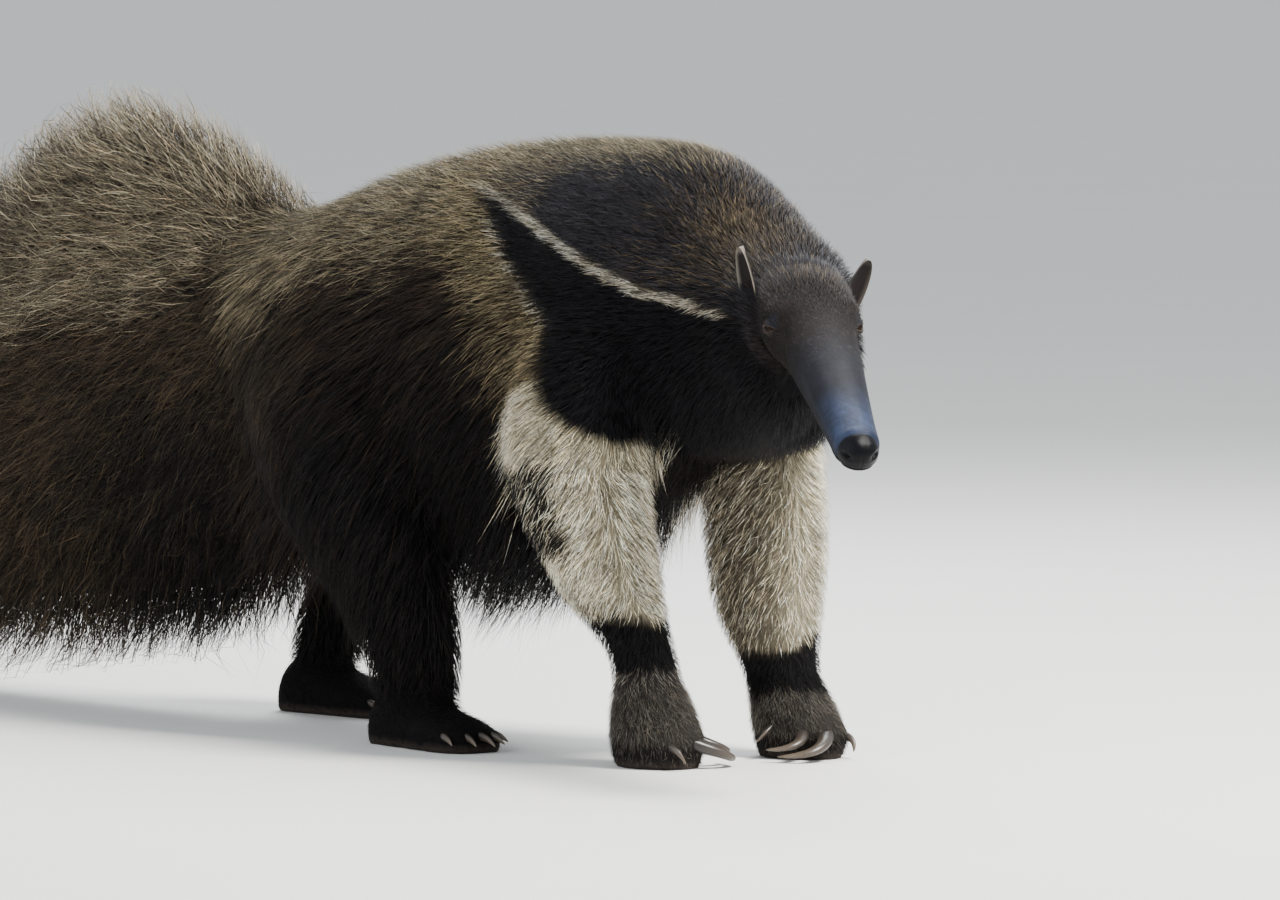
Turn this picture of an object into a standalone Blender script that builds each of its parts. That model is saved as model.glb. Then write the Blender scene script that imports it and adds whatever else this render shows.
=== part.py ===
"""Giant anteater (Myrmecophaga tridactyla), a still, life-size model in mid stride.

The outline is that of the animal with its coat: plume, flank skirts and crest
out to the tips of the hair.  The frame has +X forward, +Y to the animal's left
and +Z up.  The soles rest on z = 0, and at the end everything is moved so that
the origin is under the middle of the animal's box.

The body is modelled whole from lofted sections, blended into one skin, and then
parted with thin cuts where a person would name its parts.
"""
import math

import bmesh
import bpy
import numpy as np
from mathutils import Matrix, Vector

CM = 0.01
GAP = 0.0003            # clear gap between neighbouring pieces
VOXEL = 0.0075          # cell of the blend that joins the lofts
BODY_TRIANGLES = 2280   # faces left on the blended body
RING = 40               # points round each loft
SLEEVE_SIDES = 12       # sides of the sleeves that part the limbs

# ------------------------------------------------------------------ the trunk
# x, back line z, lower line z, half width (cm), squareness above and below
TRUNK = (
    (12.0, 48.0, 34.0, 5.5, 2.0, 2.0),
    (9.0, 51.0, 31.5, 9.5, 2.0, 2.1),
    (3.0, 56.8, 30.5, 12.6, 2.0, 2.2),
    (-4.0, 61.6, 29.8, 14.4, 2.0, 2.3),
    (-11.0, 62.4, 26.0, 15.0, 2.0, 2.4),
    (-19.0, 62.5, 18.0, 14.8, 2.0, 2.5),
    (-28.0, 62.1, 14.8, 14.6, 2.0, 2.6),
    (-38.0, 60.7, 14.8, 14.6, 2.0, 2.5),
    (-48.0, 58.2, 17.4, 14.4, 2.0, 2.2),
    (-56.0, 55.2, 21.0, 13.6, 2.0, 2.1),
    (-64.0, 53.2, 25.0, 11.0, 2.0, 2.0),
    (-69.0, 52.0, 30.0, 7.0, 2.0, 2.0),
)
# height, as a share of the section, at which the trunk is widest
TRUNK_WAIST = 0.48

# ------------------------------------------------------------------- the tail
# x, plume top z, plume bottom z, half width, z of the tail's own core (cm)
PLUME = (
    (-56.0, 51.0, 24.0, 9.6, 42.0),
    (-62.0, 54.0, 13.0, 11.0, 42.5),
    (-68.0, 57.9, 9.4, 10.6, 42.0),
    (-75.0, 62.0, 7.6, 10.2, 41.0),
    (-83.0, 64.9, 6.6, 9.8, 40.0),
    (-92.0, 66.0, 5.6, 9.4, 38.5),
    (-101.0, 61.3, 4.4, 8.8, 36.5),
    (-111.0, 55.4, 3.0, 7.9, 33.0),
    (-120.0, 47.5, 2.0, 6.8, 28.5),
    (-129.0, 37.0, 2.2, 5.2, 22.5),
    (-135.0, 28.0, 4.6, 3.2, 17.5),
    (-138.5, 20.5, 8.6, 1.3, 14.5),
)
PLUME_LEAN = 1.35       # how pointed the plume's section is, top and bottom

# ----------------------------------------------------------------- neck, head
# the neck's middle line: x, y, z, half width, above, below (cm)
NECK = (
    (-15.0, 0.0, 46.0, 12.5, 15.6, 15.5),
    (-5.0, 0.0, 46.0, 12.8, 15.6, 15.8),
    (2.5, -1.0, 46.2, 11.4, 9.9, 15.0),
    (8.6, -3.7, 46.2, 9.6, 7.2, 14.0),
    (13.4, -6.8, 46.2, 6.9, 5.0, 12.2),
    (17.0, -8.7, 46.0, 5.0, 2.9, 9.2),
)
NECK_BREADTH = 0.23                 # breadth of the cut behind the head (m)
EYES_MIDDLE = (21.6, -11.0, 45.0)   # point midway between the eyes (cm)
HEAD_YAW = -33.6                    # degrees, turned to the animal's right
HEAD_PITCH = -29.0                  # degrees, snout down
# along the head from the eyes' middle: s, half width, above, below (cm)
HEAD = (
    (-10.5, 4.9, 1.8, 8.6),
    (-8.0, 4.7, 2.45, 7.7),
    (-5.0, 4.7, 2.9, 6.5),
    (-2.0, 4.8, 3.15, 5.6),
    (0.0, 4.75, 3.25, 5.15),
    (3.0, 3.95, 3.15, 4.55),
    (9.0, 3.3, 2.8, 3.75),
    (14.0, 2.85, 2.5, 3.1),
    (19.0, 2.48, 2.2, 2.5),
    (21.8, 2.3, 2.05, 2.15),
    (23.2, 1.9, 1.85, 1.7),
    (24.4, 1.33, 1.36, 1.15),
    (24.9, 0.6, 0.65, 0.45),
)
EYE_SIDE = 4.2          # eye's centre to the head's middle plane (cm)
EYE_RISE = -0.2
EYE_RADIUS = 0.78
EAR_BACK = -6.3         # ear root behind the eyes (cm)
EAR_SIDE = 4.45
EAR_RISE = -2.4
EAR_LENGTH = {"L": 5.7, "R": 6.7}
EAR_WIDTH = {"L": 3.3, "R": 2.8}
EAR_THICK = 0.62
EAR_LEAN = {"L": 0.46, "R": 0.22}   # outward lean of each ear
EAR_FACE = {"L": (0.55, 0.80), "R": (0.85, 0.35)}   # turn: sideways, forward

# ----------------------------------------------------------------------- legs
# each leg from the top down: x, y, z, half length along x, half width (cm)
FORELEG_R = (
    (-6.5, -7.0, 49.0, 8.0, 7.0),
    (-9.0, -9.5, 42.0, 8.8, 7.4),
    (-10.6, -11.6, 34.0, 8.4, 7.4),
    (-10.0, -12.0, 28.0, 7.9, 7.1),
    (-8.6, -11.8, 23.5, 7.0, 6.6),
    (-7.2, -11.2, 19.5, 6.0, 6.0),
    (-6.3, -10.6, 16.4, 5.3, 5.3),
    (-4.6, -9.9, 13.6, 4.1, 4.2),
    (-3.4, -9.4, 10.6, 3.6, 3.7),
    (-3.0, -9.2, 7.6, 3.9, 3.9),
)
FORELEG_L = (
    (-5.0, 6.0, 49.0, 8.0, 7.0),
    (-6.0, 8.0, 42.0, 8.6, 7.2),
    (-5.6, 8.8, 34.0, 7.6, 6.9),
    (-4.6, 8.7, 28.0, 7.0, 6.6),
    (-3.9, 8.4, 23.5, 7.0, 6.5),
    (-3.3, 8.0, 19.5, 6.7, 6.3),
    (-2.9, 7.7, 16.0, 6.2, 5.9),
    (-2.3, 7.7, 13.0, 5.5, 5.3),
    (-1.6, 7.8, 10.4, 4.6, 4.5),
    (-0.9, 7.9, 7.6, 4.1, 4.0),
)
# the hand is a fist on its knuckles: x, y, z, half length, half width (cm)
HAND_R = (
    (-3.0, -9.2, 8.2, 3.9, 3.8),
    (-2.5, -9.2, 6.0, 4.6, 4.2),
    (-1.9, -9.3, 3.6, 5.3, 4.5),
    (-1.6, -9.4, 1.4, 5.3, 4.3),
    (-1.6, -9.4, -0.6, 4.9, 3.9),
)
HAND_L = (
    (-0.9, 7.9, 8.2, 3.9, 3.8),
    (0.0, 8.0, 6.0, 4.6, 4.2),
    (0.8, 8.2, 3.6, 5.3, 4.5),
    (1.2, 8.3, 1.4, 5.3, 4.3),
    (1.2, 8.3, -0.6, 4.9, 3.9),
)
HINDLEG_R = (
    (-50.0, -6.0, 46.0, 11.0, 6.5),
    (-48.5, -8.4, 38.0, 12.2, 7.0),
    (-46.0, -10.2, 30.0, 12.0, 6.8),
    (-41.8, -11.0, 22.5, 10.4, 6.4),
    (-38.2, -11.1, 16.5, 8.2, 5.8),
    (-35.8, -11.1, 11.8, 6.7, 5.2),
    (-35.0, -10.9, 7.8, 5.6, 4.6),
    (-34.7, -10.8, 4.2, 5.0, 4.2),
)
HINDLEG_L = (
    (-52.0, 6.0, 46.0, 11.0, 6.5),
    (-53.0, 9.0, 38.0, 12.2, 7.0),
    (-55.5, 10.8, 30.0, 12.0, 6.8),
    (-59.5, 11.0, 22.5, 9.8, 6.2),
    (-63.6, 10.2, 16.5, 7.2, 5.4),
    (-67.0, 9.4, 11.8, 5.5, 4.7),
    (-68.8, 8.8, 7.8, 4.4, 3.9),
    (-69.2, 8.4, 4.2, 4.2, 3.6),
)
# the hind foot lies flat, heel to toes: along, half width, top z (cm)
HIND_FOOT = (
    (-5.8, 1.7, 3.2),
    (-4.6, 3.0, 5.6),
    (-1.0, 3.5, 6.4),
    (3.0, 3.8, 5.0),
    (7.0, 4.2, 3.9),
    (9.6, 3.9, 3.1),
    (11.2, 2.6, 2.3),
)
HIND_FEET = {"R": (-35.0, -10.9, -6.0), "L": (-68.6, 8.4, 5.0)}  # x, y (cm), yaw

# claws: root, outward length, curl (degrees), root radius (cm)
FORE_CLAWS = {           # offset from the hand's middle, length, radius
    "2": (3.0, 2.6, 2.7, 6.2, 0.80),
    "3": (4.2, 0.6, 2.5, 8.2, 1.00),
    "1": (0.2, 3.9, 3.2, 2.6, 0.42),
    "4": (4.3, -2.2, 2.2, 2.6, 0.48),
}
HIND_CLAWS = 5
HIND_CLAW_LENGTH = 2.4
HIND_CLAW_RADIUS = 0.52

FUR_DARK = (0.035, 0.030, 0.028, 1.0)
FUR_GREY = (0.16, 0.13, 0.10, 1.0)
FUR_CREAM = (0.55, 0.49, 0.36, 1.0)
FACE_GREY = (0.06, 0.06, 0.065, 1.0)
HORN = (0.03, 0.028, 0.026, 1.0)
WET_BLACK = (0.008, 0.008, 0.010, 1.0)


# ------------------------------------------------------------------- helpers
def clear_scene():
    for obj in list(bpy.data.objects):
        bpy.data.objects.remove(obj, do_unlink=True)


def collection(name):
    made = bpy.data.collections.new(name)
    bpy.context.scene.collection.children.link(made)
    return made


def material(name, colour, roughness, metallic=0.0):
    mat = bpy.data.materials.new(name)
    mat.use_nodes = True
    shader = mat.node_tree.nodes["Principled BSDF"]
    shader.inputs["Base Color"].default_value = colour
    shader.inputs["Roughness"].default_value = roughness
    shader.inputs["Metallic"].default_value = metallic
    mat.diffuse_color = colour
    return mat


def cm(*values):
    return Vector([v * CM for v in values])


def signed_power(value, power):
    return math.copysign(abs(value) ** power, value)


def ring(middle, side, up, half, above, below, n_above=2.0, n_below=2.0):
    """A closed superellipse section, with its own height above and below."""
    points = []
    for i in range(RING):
        angle = 2.0 * math.pi * i / RING
        c, s = math.cos(angle), math.sin(angle)
        n = n_above if s >= 0 else n_below
        reach = above if s >= 0 else below
        points.append(middle + side * (half * signed_power(c, 2.0 / n))
                      + up * (reach * signed_power(s, 2.0 / n)))
    return points


def loft(name, rings, where):
    """A closed body through rings of equal count, capped by fans at both ends."""
    bm = bmesh.new()
    rows = [[bm.verts.new(p) for p in points] for points in rings]
    count = len(rings[0])
    for low, high in zip(rows, rows[1:]):
        for i in range(count):
            j = (i + 1) % count
            bm.faces.new((low[i], low[j], high[j], high[i]))
    for row in (rows[0], rows[-1]):
        middle = bm.verts.new(sum((v.co for v in row), Vector()) / count)
        for i in range(count):
            bm.faces.new((row[i], row[(i + 1) % count], middle))
    bmesh.ops.recalc_face_normals(bm, faces=bm.faces)
    if bm.calc_volume(signed=True) < 0:
        bmesh.ops.reverse_faces(bm, faces=bm.faces)
    mesh = bpy.data.meshes.new(name)
    bm.to_mesh(mesh)
    bm.free()
    obj = bpy.data.objects.new(name, mesh)
    where.objects.link(obj)
    return obj


def smooth_rows(rows, per_span):
    """Rows of numbers, with Catmull-Rom rows put between them."""
    rows = np.array(rows, float)
    out = []
    last = len(rows) - 1
    for i in range(last):
        p0, p1, p2, p3 = (rows[max(i - 1, 0)], rows[i], rows[i + 1],
                          rows[min(i + 2, last)])
        for k in range(per_span):
            t = k / per_span
            out.append(0.5 * (2 * p1 + (p2 - p0) * t
                              + (2 * p0 - 5 * p1 + 4 * p2 - p3) * t * t
                              + (3 * p1 - p0 - 3 * p2 + p3) * t ** 3))
    out.append(rows[last])
    return out


def evaluated_copy(obj, name):
    graph = bpy.context.evaluated_depsgraph_get()
    mesh = bpy.data.meshes.new_from_object(obj.evaluated_get(graph))
    mesh.name = name
    return mesh


def apply_modifiers(obj):
    bpy.context.view_layer.update()
    mesh = evaluated_copy(obj, obj.name)
    obj.modifiers.clear()
    old, obj.data = obj.data, mesh
    bpy.data.meshes.remove(old)


def boolean(obj, other, operation):
    modifier = obj.modifiers.new("cut", "BOOLEAN")
    modifier.operation = operation
    modifier.solver = "EXACT"
    modifier.object = other
    apply_modifiers(obj)


def tidy(obj):
    """Triangles only, with a cut's slivers welded and its offcuts removed."""
    for weld in (0.00005, 0.00001, 0.0):
        bm = bmesh.new()
        bm.from_mesh(obj.data)
        if weld:
            bmesh.ops.remove_doubles(bm, verts=bm.verts, dist=weld)
            bmesh.ops.dissolve_degenerate(bm, edges=bm.edges, dist=weld)
        bmesh.ops.triangulate(bm, faces=bm.faces)
        groups, seen = [], set()
        for seed in bm.verts:
            if seed in seen:
                continue
            group, stack = [], [seed]
            seen.add(seed)
            while stack:
                vert = stack.pop()
                group.append(vert)
                for edge in vert.link_edges:
                    other = edge.other_vert(vert)
                    if other not in seen:
                        seen.add(other)
                        stack.append(other)
            groups.append(group)
        groups.sort(key=len)
        offcuts = [v for group in groups[:-1] if len(group) < 0.3 * len(groups[-1])
                   for v in group]
        bmesh.ops.delete(bm, geom=offcuts, context="VERTS")
        if all(len(edge.link_faces) == 2 for edge in bm.edges):
            bm.to_mesh(obj.data)
            bm.free()
            return
        bm.free()


# ------------------------------------------------------------- the head frame
def head_axes():
    yaw, pitch = math.radians(HEAD_YAW), math.radians(HEAD_PITCH)
    flat = Vector((math.cos(yaw), math.sin(yaw), 0.0))
    forward = flat * math.cos(pitch) + Vector((0, 0, 1)) * math.sin(pitch)
    left = Vector((-math.sin(yaw), math.cos(yaw), 0.0))
    return forward, left, forward.cross(left)


FORWARD, LEFT, UPWARD = head_axes()


def on_head(s, side, rise):
    return (cm(*EYES_MIDDLE) + FORWARD * (s * CM) + LEFT * (side * CM)
            + UPWARD * (rise * CM))


# -------------------------------------------------------------- the body loft
def trunk_rings():
    rings = []
    for x, top, low, half, n_above, n_below in smooth_rows(TRUNK, 3):
        waist = low + (top - low) * TRUNK_WAIST
        rings.append(ring(cm(x, 0, waist), Vector((0, 1, 0)), Vector((0, 0, 1)),
                          half * CM, (top - waist) * CM, (waist - low) * CM,
                          n_above, n_below))
    return rings


def plume_rings():
    rings = []
    for x, top, low, half, core in smooth_rows(PLUME, 3):
        rings.append(ring(cm(x, 0, core), Vector((0, 1, 0)), Vector((0, 0, 1)),
                          half * CM, (top - core) * CM, (core - low) * CM,
                          PLUME_LEAN + 0.25, PLUME_LEAN + 0.2))
    return rings


def neck_rings():
    rows = smooth_rows(NECK, 3)
    rings = []
    for i, (x, y, z, half, above, below) in enumerate(rows):
        before, after = rows[max(i - 1, 0)], rows[min(i + 1, len(rows) - 1)]
        along = (cm(*after[:3]) - cm(*before[:3])).normalized()
        side = Vector((0, 0, 1)).cross(along).normalized()
        rings.append(ring(cm(x, y, z), side, along.cross(side), half * CM,
                          above * CM, below * CM))
    return rings


def head_rings():
    return [ring(on_head(s, 0, 0), LEFT, UPWARD, half * CM, above * CM,
                 below * CM, 2.15, 2.1)
            for s, half, above, below in smooth_rows(HEAD, 3)]


def upright_rings(rows):
    """A limb whose sections stay level: x, y, z, half length, half width."""
    return [ring(cm(x, y, z), Vector((0, 1, 0)), Vector((1, 0, 0)), wide * CM,
                 long * CM, long * CM)
            for x, y, z, long, wide in smooth_rows(rows, 2)]


def hind_foot_rings(side):
    x, y, yaw = HIND_FEET[side]
    turn = math.radians(yaw)
    along = Vector((math.cos(turn), math.sin(turn), 0))
    across = Vector((-math.sin(turn), math.cos(turn), 0))
    rings = []
    for s, half, top in smooth_rows(HIND_FOOT, 2):
        middle = cm(x, y, 1.2) + along * (s * CM)
        rings.append(ring(middle, across, Vector((0, 0, 1)), half * CM,
                          (top - 1.2) * CM, 2.2 * CM, 2.2, 3.0))
    return rings


def whole_body(helpers):
    lofts = [
        loft("trunk_loft", trunk_rings(), helpers),
        loft("plume_loft", plume_rings(), helpers),
        loft("neck_loft", neck_rings(), helpers),
        loft("head_loft", head_rings(), helpers),
    ]
    for name, rows in (("foreleg_R", FORELEG_R), ("foreleg_L", FORELEG_L),
                       ("hand_R", HAND_R), ("hand_L", HAND_L),
                       ("hindleg_R", HINDLEG_R), ("hindleg_L", HINDLEG_L)):
        lofts.append(loft(name + "_loft", upright_rings(rows), helpers))
    for side in HIND_FEET:
        lofts.append(loft("hindfoot_%s_loft" % side, hind_foot_rings(side), helpers))
    merged = bmesh.new()
    for obj in lofts:
        merged.from_mesh(obj.data)
        bpy.data.objects.remove(obj, do_unlink=True)
    mesh = bpy.data.meshes.new("whole_body")
    merged.to_mesh(mesh)
    merged.free()
    body = bpy.data.objects.new("whole_body", mesh)
    helpers.objects.link(body)
    blend = body.modifiers.new("blend", "REMESH")
    blend.mode = "VOXEL"
    blend.voxel_size = VOXEL
    even = body.modifiers.new("even", "SMOOTH")
    even.factor = 0.5
    even.iterations = 5
    apply_modifiers(body)
    thin = body.modifiers.new("thin", "DECIMATE")
    thin.ratio = BODY_TRIANGLES / (2.0 * len(body.data.polygons))
    apply_modifiers(body)
    floor = block("floor_cutter", cm(-60, 0, -20), (3.0, 3.0, 0.4), Matrix(), helpers)
    boolean(body, floor, "DIFFERENCE")
    tidy(body)
    return body


# ---------------------------------------------------------------- the cutters
def block(name, middle, size, turn, where):
    """A box cutter: middle, full size, and a rotation matrix."""
    bm = bmesh.new()
    bmesh.ops.create_cube(bm, size=1.0)
    mesh = bpy.data.meshes.new(name)
    for vert in bm.verts:
        vert.co = Vector([c * s for c, s in zip(vert.co, size)])
        vert.co = middle + turn.to_3x3() @ vert.co
    bm.to_mesh(mesh)
    bm.free()
    obj = bpy.data.objects.new(name, mesh)
    obj.hide_render = True
    obj.display_type = "WIRE"
    where.objects.link(obj)
    return obj


def frame_of(forward, side):
    """A rotation whose +X is forward and whose +Y is near side."""
    forward = forward.normalized()
    side = (side - forward * side.dot(forward)).normalized()
    up = forward.cross(side)
    return Matrix((forward, side, up)).transposed()


def ahead_of(point, forward, side, reach=1.2, breadth=None):
    """Middle, size and turn of a box that holds all that lies ahead."""
    turn = frame_of(forward, side)
    breadth = breadth or reach * 2
    return point + forward.normalized() * (reach / 2), (reach, breadth, breadth), turn


def upright_box(x0, x1, y0, y1, z0, z1, tilt=0.0):
    """A box between two corners (cm), tipped about the y axis by tilt."""
    middle = cm((x0 + x1) / 2, (y0 + y1) / 2, (z0 + z1) / 2)
    size = ((x1 - x0) * CM, (y1 - y0) * CM, (z1 - z0) * CM)
    return middle, size, Matrix.Rotation(math.radians(tilt), 3, "Y")


def limb_cutter(name, rows, spare, helpers):
    """A sleeve round a limb, wider than it by spare (cm), as a cutter."""
    rings = []
    for x, y, z, long, wide in rows:
        points = []
        for i in range(SLEEVE_SIDES):
            angle = 2.0 * math.pi * (i + 0.5) / SLEEVE_SIDES
            points.append(cm(x + (long + spare) * math.cos(angle),
                             y + (wide + spare) * math.sin(angle), z))
        rings.append(points)
    obj = loft(name, rings, helpers)
    obj.hide_render = True
    obj.display_type = "WIRE"
    return obj


def take(rest, name, region, helpers):
    """Parts the piece inside a region from rest, with a thin gap around it."""
    if len(region) == 2:
        rows, spare = region
        gap = GAP / CM
        inner = limb_cutter(name + "_region", rows, spare, helpers)
        top = (rows[0][0], rows[0][1], rows[0][2] + gap * 1.5) + tuple(rows[0][3:])
        low = (rows[-1][0], rows[-1][1], rows[-1][2] - gap * 1.5) + tuple(rows[-1][3:])
        outer = limb_cutter(name + "_gap", [top] + list(rows[1:-1]) + [low],
                            spare + gap * 2.0, helpers)
    else:
        middle, size, turn = region
        inner = block(name + "_region", middle, size, turn, helpers)
        outer = block(name + "_gap", middle, [s + 2 * GAP for s in size], turn, helpers)
    piece = bpy.data.objects.new(name, rest.data.copy())
    rest.users_collection[0].objects.link(piece)
    boolean(piece, inner, "INTERSECT")
    boolean(rest, outer, "DIFFERENCE")
    tidy(piece)
    tidy(rest)
    return piece


# ------------------------------------------------------------ ears, eyes, claws
def ear(name, side, where):
    """A small rounded leaf, hollowed in front, standing up from the skull."""
    sign = 1.0 if side == "L" else -1.0
    root = on_head(EAR_BACK, sign * EAR_SIDE, EAR_RISE)
    up = (UPWARD * 0.80 - FORWARD * 0.42
          + LEFT * (sign * EAR_LEAN[side])).normalized()
    turn = EAR_FACE[side]
    out = LEFT * (sign * turn[0]) + FORWARD * turn[1]
    out = (out - up * out.dot(up)).normalized()
    across = up.cross(out)
    rings = []
    steps = 6
    for i in range(steps + 1):
        t = i / steps
        half = EAR_WIDTH[side] * CM / 2 * math.sqrt(max(1 - (max(t - 0.42, 0) / 0.60) ** 2, 0.02))
        half *= 0.80 + 0.20 * min(t / 0.3, 1.0)
        thick = EAR_THICK * CM / 2 * (1.25 - 0.65 * t)
        cup = 0.55 * CM * (1.0 - 0.55 * t)
        middle = root + up * (EAR_LENGTH[side] * CM * (t * 1.12 - 0.12))
        points = []
        count = 10
        for k in range(count):
            angle = 2 * math.pi * k / count
            c, s = math.cos(angle), math.sin(angle)
            bend = -cup * (1 - c * c) + cup * 0.5
            points.append(middle + across * (half * c)
                          + out * (thick * s + bend))
        rings.append(points)
    return loft(name, rings, where)


def eye(name, side, where):
    sign = 1.0 if side == "L" else -1.0
    bm = bmesh.new()
    bmesh.ops.create_uvsphere(bm, u_segments=10, v_segments=7,
                              radius=EYE_RADIUS * CM)
    mesh = bpy.data.meshes.new(name)
    bm.to_mesh(mesh)
    bm.free()
    obj = bpy.data.objects.new(name, mesh)
    obj.location = on_head(0.0, sign * EYE_SIDE, EYE_RISE)
    where.objects.link(obj)
    return obj


def claw(name, root, start, bend_to, length, radius, where, rings_count=6, count=8):
    """A tapered, curling claw: start is its first direction, bend_to its last."""
    rings = []
    point = root.copy()
    steps = rings_count
    side = start.cross(bend_to).normalized()
    for i in range(steps + 1):
        t = i / steps
        along = (start * (1 - t) + bend_to * t).normalized()
        up = side.cross(along).normalized()
        size = radius * (1 - t) ** 0.75 + 0.0007
        points = [point + side * (size * 0.72 * math.cos(a))
                  + up * (size * math.sin(a))
                  for a in (2 * math.pi * k / count for k in range(count))]
        rings.append(points)
        point = point + along * (length / steps)
    return loft(name, rings, where)


def fore_claws(side, where):
    hand = (HAND_R if side == "R" else HAND_L)[2]
    middle = cm(hand[0], hand[1], 0)
    inward = 1.0 if side == "R" else -1.0
    made = []
    for digit, (x, y, z, length, radius) in FORE_CLAWS.items():
        root = middle + cm(x, y * inward, z)
        big = length > 4
        start = Vector((0.74, 0.56 * inward, -0.26))
        end = Vector((-0.95, 0.32 * inward, -0.02))
        if digit == "1":
            start, end = Vector((0.3, 0.9 * inward, -0.3)), Vector((-0.3, 0.5 * inward, -0.6))
        if digit == "4":
            start, end = Vector((0.9, -0.2 * inward, -0.1)), Vector((0.1, 0.3 * inward, -0.6))
        made.append(claw("foreclaw_%s_%s" % (digit, side), root, start.normalized(),
                         end.normalized(), length * CM, radius * CM, where,
                         6 if big else 3, 8 if big else 6))
    return made


def hind_claws(side, where):
    x, y, yaw = HIND_FEET[side]
    turn = math.radians(yaw)
    made = []
    for i in range(HIND_CLAWS):
        fan = (i - (HIND_CLAWS - 1) / 2) / ((HIND_CLAWS - 1) / 2)
        outward = turn + math.radians(13 * fan)
        along = Vector((math.cos(turn), math.sin(turn), 0))
        across = Vector((-math.sin(turn), math.cos(turn), 0))
        tip = Vector((math.cos(outward), math.sin(outward), 0))
        root = (cm(x, y, 1.55) + along * ((10.1 - 1.9 * fan * fan) * CM)
                + across * (3.0 * fan * CM))
        length = HIND_CLAW_LENGTH * (1.0 - 0.22 * abs(fan)) + 0.9
        made.append(claw("hindclaw_%d_%s" % (i + 1, side), root,
                         (tip + Vector((0, 0, 0.12))).normalized(),
                         (tip + Vector((0, 0, -0.75))).normalized(),
                         length * CM, HIND_CLAW_RADIUS * CM, where, 3, 6))
    return made


def grown(obj, name, by, helpers):
    """A copy of a mesh, each point moved out along its normal."""
    made = bpy.data.objects.new(name, obj.data.copy())
    made.matrix_world = obj.matrix_world
    made.hide_render = True
    made.display_type = "WIRE"
    helpers.objects.link(made)
    push = made.modifiers.new("grow", "DISPLACE")
    push.strength = by
    push.mid_level = 0.0
    apply_modifiers(made)
    return made


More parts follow.
